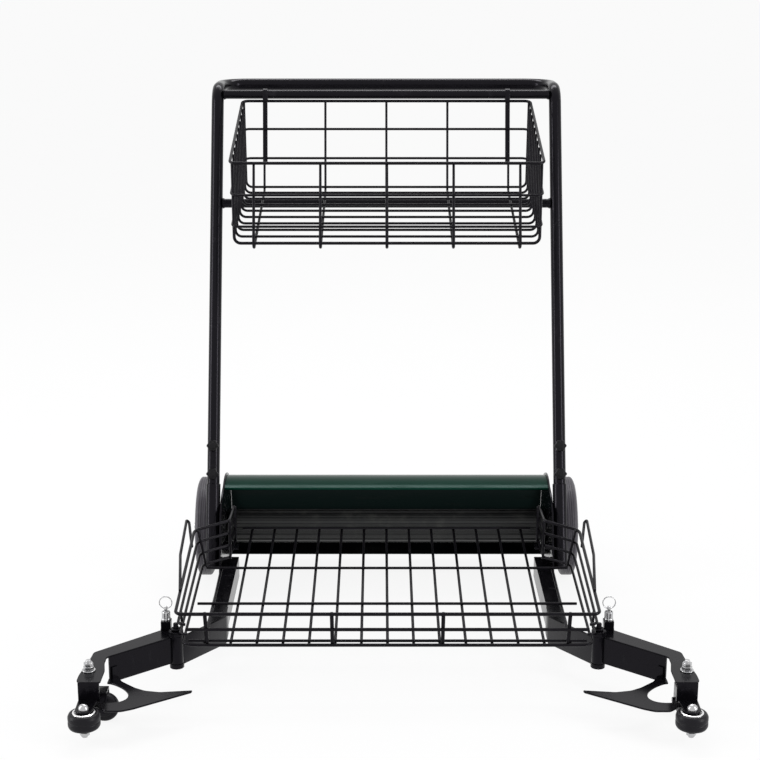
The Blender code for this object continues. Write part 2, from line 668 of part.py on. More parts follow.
def build_upper_basket(finish, handle):
    """Five welded wire panels; the posts of the front run on below it to the floor's wires."""
    lift = joint_empty("upper_basket_lift_axis", (0.0, *tube_point(UPPER_CROSS_Z)), parent=handle)
    rails = rail_heights((0.633, 0.662, 0.712, 0.763), (0.690, 0.738, 0.789, 0.838))
    low, high = UPPER_HALF_BOTTOM, UPPER_HALF_TOP
    front = panel(
        [(-low, UPPER_FRONT_Y, UPPER_FRONT_Z), (low, UPPER_FRONT_Y, UPPER_FRONT_Z),
         (high, UPPER_FRONT_TOP_Y, UPPER_FRONT_TOP_Z), (-high, UPPER_FRONT_TOP_Y, UPPER_FRONT_TOP_Z)],
        [(a, a) for a, _ in rails],
        along_width((-low, -0.220, -0.110, 0.0, 0.110, 0.220, low), low),
    )
    rear = panel(
        [(-low, UPPER_REAR_Y, UPPER_REAR_Z), (low, UPPER_REAR_Y, UPPER_REAR_Z),
         (high, UPPER_REAR_TOP_Y, UPPER_REAR_TOP_Z), (-high, UPPER_REAR_TOP_Y, UPPER_REAR_TOP_Z)],
        [(b, b) for _, b in rails],
        along_width((-low, -0.110, 0.0, 0.110, low), low),
        flip=-1.0,
    )
    rear = combined(rear, [hook_strap_mesh(-0.219), hook_strap_mesh(0.219)])
    inset = 0.0078
    wall_corners = [
        (low, UPPER_FRONT_Y + inset, UPPER_FRONT_Z), (low, UPPER_REAR_Y - inset, UPPER_REAR_Z),
        (high, UPPER_REAR_TOP_Y - inset, UPPER_REAR_TOP_Z + 0.001),
        (high, UPPER_FRONT_TOP_Y + inset, UPPER_FRONT_TOP_Z),
    ]
    posts = [0.012 + 0.976 * k / 8 for k in range(9)]
    wall = panel(wall_corners, rails[1:], posts)
    floor_half = low - 0.0072
    floor_rise = (UPPER_REAR_Z - UPPER_FRONT_Z) / (UPPER_REAR_Y - UPPER_FRONT_Y)
    front_y, rear_y = UPPER_FRONT_Y + 0.0085, UPPER_REAR_Y - 0.0085
    front_z = UPPER_FRONT_Z + (front_y - UPPER_FRONT_Y) * floor_rise
    rear_z = UPPER_FRONT_Z + (rear_y - UPPER_FRONT_Y) * floor_rise
    floor = panel(
        [(-floor_half, front_y, front_z), (-floor_half, rear_y, rear_z),
         (floor_half, rear_y, rear_z), (floor_half, front_y, front_z)],
        [(place, place) for place in along_width((-0.220, -0.110, 0.0, 0.110, 0.220), floor_half)],
        [0.02 + 0.96 * k / 8 for k in range(9)],
    )
    add_piece("upper_basket_front", front, finish["black"], lift)
    add_piece("upper_basket_rear", rear, finish["black"], lift)
    add_piece("upper_basket_floor", floor, finish["black"], lift)
    add_piece("upper_basket_side_left", mirrored(wall), finish["black"], lift)
    add_piece("upper_basket_side_right", wall, finish["black"], lift)


# Lower basket

def lower_floor_z(y):
    return LOWER_FLOOR_FRONT_Z + (y - LOWER_FRONT_Y) * LOWER_FLOOR_RISE


def lower_floor_mesh():
    """Wires from front to rear, 40 mm apart, welded below three cross wires."""
    wire = WIRE
    shift = (wire - WIRE_OVERLAP) / 2.0
    front = LOWER_FRONT_Y + 0.0075
    lengthwise = []
    for k in range(-7, 8):
        x = k * 0.040
        rear = LOWER_REAR_Y if abs(x) < LOWER_HALF_REAR else LOWER_CORNER_Y
        start = (x, front, lower_floor_z(front) - shift)
        end = (x, rear, lower_floor_z(rear) - shift)
        lengthwise.append(bar(start, end, (0, 0, 1), wire, wire))
    crosswise = []
    for y in (LOWER_FRONT_Y + 0.0105, -0.100, LOWER_REAR_Y - 0.003):
        half = LOWER_HALF_BOTTOM - 0.0065 if y < LOWER_CORNER_Y else LOWER_HALF_REAR - 0.0065
        z = lower_floor_z(y) + shift
        crosswise.append(bar((-half, y, z), (half, y, z), (0, 0, 1), wire, wire))
    return combined(joined(lengthwise), [joined(crosswise)])


def lower_side_mesh():
    """The right side wall with the eye that drops over the hinge pin's stud."""
    front, rear = LOWER_FRONT_Y + 0.0085, LOWER_CORNER_Y
    low, high = LOWER_HALF_BOTTOM, LOWER_HALF_TOP
    wall = panel(
        [(low, front, lower_floor_z(front)), (low, rear, lower_floor_z(rear)),
         (high, rear, 0.161), (high, front, 0.131)],
        [(share, share) for share in (0.02, 0.34, 0.67, 1.0)],
        [0.012, 0.33, 0.67, 0.988],
    )
    eye = turned(
        [(0.0045, 0.0880), (0.0072, 0.0880), (0.0072, 0.0915), (0.0045, 0.0915)],
        12, Matrix.Translation((HINGE_X, HINGE_Y, 0.0)),
    )
    low_rail = lower_floor_z(HINGE_Y) + 0.020
    neck = bar((0.3120, HINGE_Y, 0.08975), (0.3215, HINGE_Y, 0.08975), (0, 0, 1), 0.0045, 0.0031)
    stalk = bar((0.3135, HINGE_Y, 0.0880), (0.3172, HINGE_Y, low_rail + 0.006), (0, 1, 0), 0.0035, 0.0040)
    return combined(wall, [stalk, neck, eye])


def lower_rear_corner_mesh():
    """The right wall's rear end: it steps in past the tube and wheel, then runs back to the drum."""
    top = 0.161
    outer = (LOWER_HALF_TOP - 0.0015, LOWER_CORNER_Y + 0.0080)
    bend = (LOWER_HALF_REAR + 0.0040, LOWER_BEND_Y)
    end = (LOWER_HALF_REAR + 0.0020, LOWER_WALL_END_Y)
    shares = [(share, share) for share in (0.05, 0.36, 0.68, 1.0)]
    steps = []
    for (x0, y0), (x1, y1), posts in ((outer, bend, (0.03, 0.97)), (bend, end, (0.97,))):
        steps.append(panel(
            [(x0, y0, lower_floor_z(y0)), (x1, y1, lower_floor_z(y1)), (x1, y1, top), (x0, y0, top)],
            shares, posts,
        ))
    return combined(steps[0], steps[1:])


def lower_loop_mesh():
    """The wire loop outside the right wall, by which the basket is carried."""
    points = rounded_path(
        [(0.3275, -0.275, 0.1320), (0.3378, -0.110, 0.1440), (0.3390, 0.032, 0.1620),
         (0.3250, -0.030, 0.1410)],
        [0.080, 0.006],
        4,
    )
    return swept(points, 0.0022, 6)


def build_lower_basket(finish, cart):
    lift = joint_empty("lower_basket_lift_axis", (0.0, HINGE_Y, LOWER_FLOOR_FRONT_Z), parent=cart)
    low, high = LOWER_HALF_BOTTOM, LOWER_HALF_TOP
    front = panel(
        [(-low, LOWER_FRONT_Y, LOWER_FLOOR_FRONT_Z), (low, LOWER_FRONT_Y, LOWER_FLOOR_FRONT_Z),
         (high, LOWER_FRONT_Y - 0.002, 0.131), (-high, LOWER_FRONT_Y - 0.002, 0.131)],
        [(0.0, 0.0), (0.505, 0.505), (1.0, 1.0)],
        along_width((-low, -0.275, -0.084, 0.084, 0.275, low), low),
    )
    add_piece("lower_basket_front", front, finish["black"], lift)
    add_piece("lower_basket_floor", lower_floor_mesh(), finish["black"], lift)
    for name, maker in (
        ("lower_basket_side", lower_side_mesh),
        ("lower_basket_corner", lower_rear_corner_mesh),
        ("carry_loop", lower_loop_mesh),
    ):
        mesh = maker()
        add_piece(f"{name}_left", mirrored(mesh), finish["black"], lift)
        add_piece(f"{name}_right", mesh, finish["black"], lift)


# Arms

def arm_place():
    """Turns a shape whose +X runs along the arm's web, and sets it on the hinge."""
    return Matrix.Translation((HINGE_X, HINGE_Y, 0.0)) @ Matrix.Rotation(ARM_ANGLE, 4, "Z")


def arm_point(along, out):
    """A point in the cart's plan, from its distances along the web and out from it."""
    point = arm_place() @ Vector((along, out, 0.0))
    return (point.x, point.y)


def arm_mesh():
    """The right arm: hinge sleeve, upright web, top flange, end plate and folded roller tab."""
    bore = PIN_RADIUS + GAP
    sleeve = turned(
        [(bore, SLEEVE_BOTTOM), (SLEEVE_RADIUS, SLEEVE_BOTTOM), (SLEEVE_RADIUS, SLEEVE_TOP), (bore, SLEEVE_TOP)],
        12, Matrix.Translation((HINGE_X, HINGE_Y, 0.0)),
    )
    half = SHEET / 2.0
    web = prism(
        [(0.0080, -half), (WEB_LENGTH, -half), (WEB_LENGTH, half), (0.0080, half)], 0.0345, 0.0785
    )
    web.transform(arm_place())
    ear = arc((PLUNGER_X, PLUNGER_Y), 0.0095, math.radians(20.0), math.radians(205.0), 7)
    outline = [arm_point(0.0080, -half), arm_point(WEB_LENGTH, -half), (0.4190, -0.3540), (0.4190, -0.4420)]
    outline += [(0.4470, -0.4420), (0.4580, -0.4310), (0.4580, -0.3480), (0.4440, -0.3340)]
    outline += ear + [arm_point(0.0040, 0.0110), arm_point(0.0080, 0.0060)]
    top = prism(outline, 0.0760, 0.0788)
    front = prism([(0.4215, -0.4419), (0.4525, -0.4419), (0.4525, -0.4390), (0.4215, -0.4390)], 0.0480, 0.0775)
    nose = arc((ROLLER_X, ROLLER_Y), 0.0125, math.radians(180.0), math.radians(360.0), 8)
    tab = prism([(0.4500, -0.4395), (0.4240, -0.4395)] + nose, 0.0480, 0.0508)
    boss = turned(
        [(0.0043, 0.0500), (0.0092, 0.0500), (0.0092, 0.0770), (0.0043, 0.0770)],
        12, Matrix.Translation((KINGPIN_X, KINGPIN_Y, 0.0)),
    )
    solid = combined(sleeve, [web, top, front, tab, boss])
    holes = [
        rod((KINGPIN_X, KINGPIN_Y, 0.0700), (KINGPIN_X, KINGPIN_Y, 0.0900), 0.0043, 14),
        rod((PLUNGER_X, PLUNGER_Y, 0.0700), (PLUNGER_X, PLUNGER_Y, 0.0900), 0.0044, 12),
        rod((ROLLER_X, ROLLER_Y, 0.0400), (ROLLER_X, ROLLER_Y, 0.0600), 0.0043, 12),
    ]
    return combined(solid, holes, "DIFFERENCE")


def ball_guide_mesh():
    """The flat blade that sweeps balls inwards; its open notch leaves the caster room to swivel."""
    bottom, top = 0.0410, 0.0438
    centre_x, centre_y, reach_x, reach_y = 0.427, -0.403, 0.045, 0.034
    start = -math.acos((0.448 - centre_x) / reach_x)
    end = math.acos((0.420 - centre_x) / reach_x) - math.tau
    circle = arc((0.0, 0.0), 1.0, start, end, 16)
    notch = [(centre_x + reach_x * x, centre_y + reach_y * y) for x, y in circle]
    outline = [(0.2910, -0.3760), (0.3470, -0.4280), (0.3860, -0.4580), (0.4080, -0.4605)]
    outline += [(0.4170, -0.4525), (0.4240, -0.4465), (0.4480, -0.4465)] + notch
    outline += [(0.4200, -0.3550), arm_point(0.1170, -0.0018), arm_point(0.1060, -0.0018)]
    outline += [(0.4050, -0.3625), (0.3850, -0.3760), (0.3370, -0.3860)]
    blade = prism(outline, bottom, top)
    rear_ear = prism(
        [(0.1066, -0.0045), (0.1164, -0.0045), (0.1164, -0.0021), (0.1066, -0.0021)], bottom + 0.001, 0.0600
    )
    rear_ear.transform(arm_place())
    front_ear = prism(
        [(0.4290, -0.4387), (0.4460, -0.4387), (0.4460, -0.4367), (0.4290, -0.4367)], bottom + 0.001, 0.0700
    )
    return combined(blade, [rear_ear, front_ear])


def plunger_body_mesh():
    """The block and barrel that guide the locking pin, seated on the arm's flange."""
    half = 0.0078
    base, waist, top = 0.0791, 0.0930, 0.1080
    block = prism(
        [(PLUNGER_X - half, PLUNGER_Y - half), (PLUNGER_X + half, PLUNGER_Y - half),
         (PLUNGER_X + half, PLUNGER_Y + half), (PLUNGER_X - half, PLUNGER_Y + half)],
        base, waist,
    )
    place = Matrix.Translation((PLUNGER_X, PLUNGER_Y, 0.0))
    barrel = turned(
        [(0.0, waist - 0.002), (0.0064, waist - 0.002), (0.0064, top - 0.001), (0.0054, top), (0.0, top)],
        12, place,
    )
    bore = rod((PLUNGER_X, PLUNGER_Y, 0.070), (PLUNGER_X, PLUNGER_Y, 0.120), 0.0042, 12)
    return combined(combined(block, [barrel]), [bore], "DIFFERENCE")


def plunger_pin_mesh():
    """The sprung locking pin, flattened at its top round the pull ring's eye."""
    place = Matrix.Translation((PLUNGER_X, PLUNGER_Y, 0.0))
    shaft = turned(
        [(0.0, 0.0742), (0.0028, 0.0742), (0.0039, 0.0755), (0.0039, 0.1120), (0.0, 0.1120)], 12, place
    )
    tab = prism(
        [(PLUNGER_Y - 0.0036, 0.1090), (PLUNGER_Y + 0.0036, 0.1090), (PLUNGER_Y + 0.0036, 0.1145),
         (PLUNGER_Y + 0.0020, 0.1165), (PLUNGER_Y - 0.0020, 0.1165), (PLUNGER_Y - 0.0036, 0.1145)],
        PLUNGER_X - 0.0022, PLUNGER_X + 0.0022, "YZ",
    )
    trims = []
    for side in (-1, 1):
        x = PLUNGER_X + side * 0.0042
        trims.append(bar((x, PLUNGER_Y, 0.1088), (x, PLUNGER_Y, 0.1200), (1, 0, 0), 0.0200, 0.0040))
    solid = combined(shaft, trims, "DIFFERENCE")
    eye = rod((PLUNGER_X - 0.01, PLUNGER_Y, 0.1125), (PLUNGER_X + 0.01, PLUNGER_Y, 0.1125), 0.0020, 12)
    return combined(combined(solid, [tab]), [eye], "DIFFERENCE")


def pull_ring_mesh():
    """The pull ring, which hangs in the pin's eye and can swing either way."""
    bm = bmesh.new()
    major, minor = 0.0093, 0.0011
    rings = []
    for k in range(16):
        angle = math.tau * k / 16
        centre = Vector((math.sin(angle), 0.0, -math.cos(angle)))
        ring = []
        for m in range(4):
            turn = math.tau * m / 4
            offset = centre * (minor * math.cos(turn)) + Vector((0.0, minor * math.sin(turn), 0.0))
            ring.append(bm.verts.new(centre * major + offset))
        rings.append(ring)
    for k, near in enumerate(rings):
        far = rings[(k + 1) % len(rings)]
        for m in range(4):
            bm.faces.new((near[m - 1], near[m], far[m], far[m - 1]))
    mesh = mesh_from(bm)
    mesh.transform(Matrix.Translation((PLUNGER_X, PLUNGER_Y, 0.1125 + major)))
    return mesh


def kingpin_mesh():
    """The caster's pivot bolt: its head holds the fork up and its nuts stack on the end plate."""
    place = Matrix.Translation((KINGPIN_X, KINGPIN_Y, 0.0))
    bolt = turned(
        [(0.0, 0.0418), (0.0062, 0.0418), (0.0062, 0.0452), (0.0040, 0.0452), (0.0040, 0.0995),
         (0.0034, 0.1003), (0.0, 0.1003)],
        12, place,
    )
    washer = rod((KINGPIN_X, KINGPIN_Y, 0.0791), (KINGPIN_X, KINGPIN_Y, 0.0810), 0.0100, 14)
    low_nut = rod((KINGPIN_X, KINGPIN_Y, 0.0806), (KINGPIN_X, KINGPIN_Y, 0.0880), 0.0078, 6)
    high_nut = rod((KINGPIN_X, KINGPIN_Y, 0.0876), (KINGPIN_X, KINGPIN_Y, 0.0945), 0.0070, 6)
    return combined(bolt, [washer, low_nut, high_nut])


def roller_bolt_mesh():
    """The bumper roller's bolt: a dome head on the tab and a nut below."""
    place = Matrix.Translation((ROLLER_X, ROLLER_Y, 0.0))
    dome = arc((0.0, 0.0511), 0.0078, 0.0, math.pi / 2.0, 4)
    profile = [(0.0, 0.0075), (0.0040, 0.0075), (0.0040, 0.0100), (0.0072, 0.0100), (0.0072, 0.0158)]
    profile += [(0.0040, 0.0158), (0.0040, 0.0511)] + dome[:-1] + [(0.0, 0.0589)]
    return turned(profile, 12, place)


def roller_mesh():
    """A rubber bumper wheel moulded on its hub."""
    place = Matrix.Translation((ROLLER_X, ROLLER_Y, 0.0))
    bore = 0.0043
    profile = [(bore, 0.0162), (0.0085, 0.0162), (0.0105, ROLLER_BOTTOM), (ROLLER_RADIUS - 0.005, ROLLER_BOTTOM)]
    profile += [(ROLLER_RADIUS, ROLLER_BOTTOM + 0.0050), (ROLLER_RADIUS, ROLLER_TOP - 0.0050)]
    profile += [(ROLLER_RADIUS - 0.005, ROLLER_TOP), (0.0155, ROLLER_TOP), (0.0155, ROLLER_TOP + 0.0014)]
    profile += [(bore, ROLLER_TOP + 0.0014)]
    return turned(profile, 16, place)


def caster_fork_mesh():
    """A caster's fork with its axle bolt, made trailing along +X from its kingpin."""
    inner, outer = CASTER_WIDTH / 2.0 + 0.0010, CASTER_WIDTH / 2.0 + 0.0035
    plate = prism([(-0.0095, -outer), (0.0265, -outer), (0.0265, outer), (-0.0095, outer)], 0.0457, 0.0485)
    leg = [(-0.0030, 0.0480), (0.0110, 0.0290)]
    leg += arc((CASTER_TRAIL, CASTER_RADIUS), 0.0062, math.radians(200.0), math.radians(360.0), 5)
    leg += [(0.0265, 0.0480)]
    legs = [prism(leg, -outer, -inner, "XZ"), prism(leg, inner, outer, "XZ")]
    low, high = (CASTER_TRAIL, -0.0150, CASTER_RADIUS), (CASTER_TRAIL, 0.0150, CASTER_RADIUS)
    bolt = rod(low, high, 0.0030, 8)
    heads = []
    for side in (-1, 1):
        start = (CASTER_TRAIL, side * (outer - 0.0002), CASTER_RADIUS)
        end = (CASTER_TRAIL, side * (outer + 0.0030), CASTER_RADIUS)
        heads.append(rod(start, end, 0.0050, 6))
    boss = rod((0, 0, 0.0484), (0, 0, 0.0497), 0.0088, 12)
    hole = rod((0, 0, 0.0400), (0, 0, 0.0600), 0.0043, 12)
    solid = combined(plate, [boss] + legs + [bolt] + heads)
    return combined(solid, [hole], "DIFFERENCE")


def caster_wheel_mesh():
    """A caster's wheel with a rounded tread, made below its fork."""
    half = CASTER_WIDTH / 2.0
    profile = [(0.0033, -half), (0.0120, -half), (0.0130, -half + 0.0012), (0.0175, -half + 0.0005)]
    profile += [(CASTER_RADIUS, -half + 0.0045), (CASTER_RADIUS, half - 0.0045)]
    profile += [(0.0175, half - 0.0005), (0.0130, half - 0.0012), (0.0120, half), (0.0033, half)]
    place = Matrix.Translation((CASTER_TRAIL, 0.0, CASTER_RADIUS)) @ Matrix.Rotation(math.pi / 2, 4, "X")
    return turned(profile, 16, place @ Matrix.Rotation(math.pi / 2, 4, "Z"))


def build_arm(name, side, finish, cart):
    def sided(mesh):
        return mesh if side > 0 else mirrored(mesh)

    arm = joint_empty(f"arm_{name}_axis", (side * HINGE_X, HINGE_Y, 0.0), parent=cart)
    pin = joint_empty(f"plunger_{name}_axis", (side * PLUNGER_X, PLUNGER_Y, 0.0742), parent=arm)
    ring = joint_empty(f"pull_ring_{name}_axis", (side * PLUNGER_X, PLUNGER_Y, 0.1125), parent=pin)
    bumper = joint_empty(f"roller_{name}_axis", (side * ROLLER_X, ROLLER_Y, ROLLER_TOP), parent=arm)
    for piece, maker, slot, carrier in (
        ("arm", arm_mesh, "black", arm),
        ("ball_guide", ball_guide_mesh, "black", arm),
        ("plunger_body", plunger_body_mesh, "steel", arm),
        ("kingpin", kingpin_mesh, "steel", arm),
        ("roller_bolt", roller_bolt_mesh, "steel", arm),
        ("plunger_pin", plunger_pin_mesh, "steel", pin),
        ("pull_ring", pull_ring_mesh, "steel", ring),
        ("roller", roller_mesh, "rubber", bumper),
    ):
        add_piece(f"{piece}_{name}", sided(maker()), finish[slot], carrier)
    swivel_at = (side * KINGPIN_X, KINGPIN_Y, 0.0)
    swivel = joint_empty(f"caster_{name}_axis", swivel_at, CASTER_TURN[name], parent=arm)
    hub_at = swivel.matrix_world @ Vector((CASTER_TRAIL, 0.0, CASTER_RADIUS))
    wheel = joint_empty(f"caster_wheel_{name}_axis", hub_at, CASTER_TURN[name], parent=swivel)
    for piece, maker, slot, carrier in (
        ("caster_fork", caster_fork_mesh, "black", swivel),
        ("caster_wheel", caster_wheel_mesh, "rubber", wheel),
    ):
        mesh = maker()
        mesh.transform(swivel.matrix_world)
        add_piece(f"{piece}_{name}", mesh, finish[slot], carrier)


def main():
    clear_scene()
    finish = make_materials()
    cart = joint_empty("cart", (0.0, 0.0, 0.0))
    build_frame(finish, cart)
    build_drum_axle(finish, cart)
    handle = build_handle(finish, cart)
    build_upper_basket(finish, handle)
    build_lower_basket(finish, cart)
    for name, side in SIDES.items():
        build_arm(name, side, finish, cart)


main()
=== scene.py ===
"""The tennis ball cart's looks: round welded wire, bent tube, folded sheet, rubber and zinc.

Lengths are metres in the cart's own frame. Each new piece is a surface of two parameters, or a
section carried along a path, worked out as whole arrays and then joined into one mesh.
"""

import math

import bmesh
import bpy
import numpy as np
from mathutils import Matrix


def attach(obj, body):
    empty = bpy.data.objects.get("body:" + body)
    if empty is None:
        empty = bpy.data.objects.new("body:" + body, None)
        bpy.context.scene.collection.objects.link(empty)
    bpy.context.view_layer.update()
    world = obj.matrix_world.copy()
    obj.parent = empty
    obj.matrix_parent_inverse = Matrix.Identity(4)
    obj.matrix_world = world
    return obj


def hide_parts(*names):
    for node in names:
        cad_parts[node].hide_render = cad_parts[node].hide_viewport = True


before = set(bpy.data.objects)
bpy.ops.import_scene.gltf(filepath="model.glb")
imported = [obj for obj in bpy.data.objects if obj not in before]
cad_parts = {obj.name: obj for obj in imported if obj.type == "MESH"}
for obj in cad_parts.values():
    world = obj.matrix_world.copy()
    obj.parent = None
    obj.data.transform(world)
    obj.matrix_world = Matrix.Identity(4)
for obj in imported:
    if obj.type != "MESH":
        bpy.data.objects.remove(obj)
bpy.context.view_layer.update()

# Driving dimensions, as on the solids
AXLE = np.array([0.0, 0.192, 0.089])
WHEEL_X = 0.326
HOOD_RADIUS, HOOD_SHEET, HOOD_HALF = 0.0925, 0.0018, 0.2887
HOOD_LIP, HOOD_TAIL = math.radians(65.6), math.radians(235.0)
TUBE_X, TUBE_LEAN = 0.305, math.radians(21.33)
TUBE_UP = np.array([0.0, math.sin(TUBE_LEAN), math.cos(TUBE_LEAN)])
FOOT_Y, FOOT_Z, SEAT_Z = 0.0675, 0.057, 0.193
PUSH_BAR_Y, PUSH_BAR_Z, HANDLE_RADIUS = 0.4843, 0.858, 0.01098
CROSS_TUBES, CROSS_RADIUS = {"upper": 0.849, "lower": 0.662}, 0.008
KNOBS = {"lower": 0.208, "upper": 0.254}
HINGE = (0.327, -0.275)
PLUNGER = (0.345, -0.249)
KINGPIN = (0.440, -0.403)
ROLLER = (0.437, -0.472)
CASTER_TRAIL = 0.021
RIGHT = (1.0, 0.0, 0.0)
SIDES = {"left": -1, "right": 1}


# Shapes

def unit(vectors):
    """Vectors divided by their lengths."""
    return vectors / np.linalg.norm(vectors, axis=-1, keepdims=True)


def rounded(corners, radii, steps):
    """A path whose inner corners are arcs of the given radii.

    At corner p with unit directions a and b to its neighbours and half angle h between them, the
    centre is c = p + r / sin h along a + b. The arc runs from tangent point to tangent point as
    c + r (sin((1 - s) f) u + sin(s f) v) / sin f, where f = pi - 2 h is the turn and s goes 0 to 1.
    """
    corners = np.asarray(corners, float)
    radii = np.broadcast_to(np.asarray(radii, float), (len(corners) - 2,))
    point = corners[1:-1]
    back, on = unit(corners[:-2] - point), unit(corners[2:] - point)
    half = np.arccos(np.clip((back * on).sum(-1), -1.0, 1.0)) / 2.0
    centre = point + unit(back + on) * (radii / np.sin(half))[:, None]
    reach = (radii / np.tan(half))[:, None]
    first, last = unit(point + back * reach - centre), unit(point + on * reach - centre)
    turn = (np.pi - 2.0 * half)[:, None]
    share = np.linspace(0.0, 1.0, steps + 1)[None]
    from_first = np.sin((1.0 - share) * turn) / np.sin(turn)
    from_last = np.sin(share * turn) / np.sin(turn)
    spokes = from_first[..., None] * first[:, None] + from_last[..., None] * last[:, None]
    arcs = centre[:, None] + radii[:, None, None] * spokes
    return np.vstack([corners[:1], arcs.reshape(-1, 3), corners[-1:]])


def circle(count):
    """Angles spread evenly once round."""
    return np.arange(count) * (2.0 * np.pi / count)


def arc(centre, radius, start, end, count):
    """Points in a plane along an arc, from one angle in degrees to another."""
    turn = np.radians(np.linspace(start, end, count))
    return np.column_stack([centre[0] + radius * np.cos(turn), centre[1] + radius * np.sin(turn)])


def directions(path):
    """A path's direction at each of its points, halfway between its two steps there."""
    step = unit(np.diff(path, axis=0))
    return unit(np.vstack([step[:1], step[:-1] + step[1:], step[-1:]]))


def round_rings(path, radius, side, other, sides):
    """Rings about a path's points: p_i + r_i (cos a_k side_i + sin a_k other_i)."""
    turn = circle(sides)[None, :, None]
    return path[:, None] + radius * (np.cos(turn) * side[:, None] + np.sin(turn) * other[:, None])


def ended(path, rings):
    """Rings that close to a point at each end of their path."""
    ends = [np.broadcast_to(path[i], rings[i].shape)[None] for i in (0, -1)]
    return np.concatenate([ends[0], rings, ends[1]])


def tube(path, radius, normal, sides=14, closed=False, blunt=0.3):
    """A round section carried along a path.

    Point (i, k) is p_i + r_i (cos a_k n_i + sin a_k b_i), with n_i the given direction made square
    to the path's tangent t_i, b_i = t_i x n_i and a_k going once round. An open path's ends
    close to a point through a small rounded rim; a closed path's last ring is its first.
    """
    path = np.asarray(path, float)
    radius = np.broadcast_to(np.asarray(radius, float), (len(path),))
    if closed:
        step = unit(np.roll(path, -1, 0) - path)
        along = unit(step + np.roll(step, 1, 0))
        path, along, radius = (np.concatenate([a, a[:1]]) for a in (path, along, radius))
    else:
        along = directions(path)
        rim = np.array([0.0, 0.0, 0.3, 1.0])[:, None] * blunt
        share = np.array([0.0, 1.0 - blunt, 1.0 - 0.3 * blunt, 1.0])
        head = path[:1] + along[:1] * rim * radius[0]
        tail = path[-1:] - along[-1:] * rim[::-1] * radius[-1]
        path = np.vstack([head, path[1:-1], tail])
        along = np.vstack([along[[0] * 4], along[1:-1], along[[-1] * 4]])
        radius = np.concatenate([share * radius[0], radius[1:-1], share[::-1] * radius[-1]])
    normal = np.asarray(normal, float)
    side = unit(normal - along * (along @ normal)[:, None])
    return round_rings(path, radius[:, None, None], side, np.cross(along, side), sides)


def swept_free(path, radius, sides):
    """A round section along a path that turns in more than one plane.

    Each ring's first spoke is the last ring's, made square to the new direction, so the section
    never twists.
    """
    along = directions(path)
    side = [unit(np.cross(along[0], (0.0, 1.0, 0.0)))]
    for direction in along[1:]:
        side.append(unit(side[-1] - direction * (direction @ side[-1])))
    side = np.array(side)
    return ended(path, round_rings(path, radius, side, np.cross(along, side), sides))


def turned(profile, axis="Z", centre=(0.0, 0.0, 0.0), steps=48, lobes=None):
    """A profile of (radius, height) turned about an axis through the centre.

    Point (i, k) lies at height h_i along the axis and at r_i (cos a_k, sin a_k) across it. With
    lobes = (count, depth), the radius shrinks by depth (1 - cos(count a)) / 2 in proportion to it.
    """
    profile = np.asarray(profile, float)
    turn = circle(steps)
    radius = profile[:, :1] * np.ones(steps)[None]
    if lobes is not None:
        count, depth = lobes
        radius = radius * (1.0 - depth * (1.0 - np.cos(count * turn))[None] / 2.0)
    flat = np.stack(
        [radius * np.cos(turn), radius * np.sin(turn), profile[:, 1:] * np.ones(steps)[None]], -1
    )
    order = {"Z": (0, 1, 2), "X": (2, 0, 1), "Y": (1, 2, 0)}[axis]
    return flat[..., list(order)] + np.asarray(centre, float)


def curves(first, corner, last, steps):
    """Points (1 - s)^2 a + 2 s (1 - s) p + s^2 b from each first a past its corner p to b."""
    share = np.linspace(0.0, 1.0, steps + 1)[None, :, None]
    begun = (1 - share) ** 2 * first[:, None] + 2 * share * (1 - share) * corner[:, None]
    return (begun + share ** 2 * last[:, None]).reshape(-1, 2)


def eased(profile, reach, steps=3):
    """A (radius, height) profile whose inner corners are rounded by short quadratic curves.

    A curve begins and ends on the corner's sides at the reach, or at 0.45 of a shorter side.
    """
    profile = np.asarray(profile, float)
    point = profile[1:-1]
    back, on = profile[:-2] - point, profile[2:] - point
    lengths = [np.linalg.norm(way, axis=-1, keepdims=True) for way in (back, on)]
    first = point + back / lengths[0] * np.minimum(reach, 0.45 * lengths[0])
    last = point + on / lengths[1] * np.minimum(reach, 0.45 * lengths[1])
    return np.vstack([profile[:1], curves(first, point, last, steps), profile[-1:]])


def hollow(profile, reach, steps, axis, centre):
    """A ring turned from a closed (radius, height) outline with its corners rounded."""
    return turned(np.vstack([eased(profile, reach), profile[:1]]), axis, centre, steps)


def hexagon(across, low, high, centre, axis="Z"):
    """A nut: six flat sides whose corners are cut back at both faces."""
    radius = across / math.sqrt(3.0)
    cut = across * 0.06
    profile = [(0.0, low), (radius * 0.86, low), (radius, low + cut)]
    profile += [(radius, high - cut), (radius * 0.86, high), (0.0, high)]
    return turned(profile, axis, centre, 6)


def flat_plate(outline, low, high):
    """A level plate: four rings of its outline, the first and last set in by the edge's width.

    A ring's point p moves to p - e (m + n) / (1 + m . n), where m and n are the outward normals of
    the two sides that meet there. The flat faces are filled when the mesh is closed.
    """
    edge = 0.0005
    outline = np.asarray(outline, float)
    after = np.roll(outline, -1, 0)
    side = unit(after - outline)
    area = (outline[:, 0] * after[:, 1] - outline[:, 1] * after[:, 0]).sum()
    out = np.stack([side[:, 1], -side[:, 0]], -1) * np.sign(area)
    before = np.roll(out, 1, 0)
    mitre = (out + before) / (1.0 + (out * before).sum(-1, keepdims=True))
    rings = []
    for inset, height in ((edge, low), (0.0, low + edge), (0.0, high - edge), (edge, high)):
        ring = outline - mitre * inset
        rings.append(np.column_stack([ring, np.full(len(ring), height)]))
    return np.stack(rings)


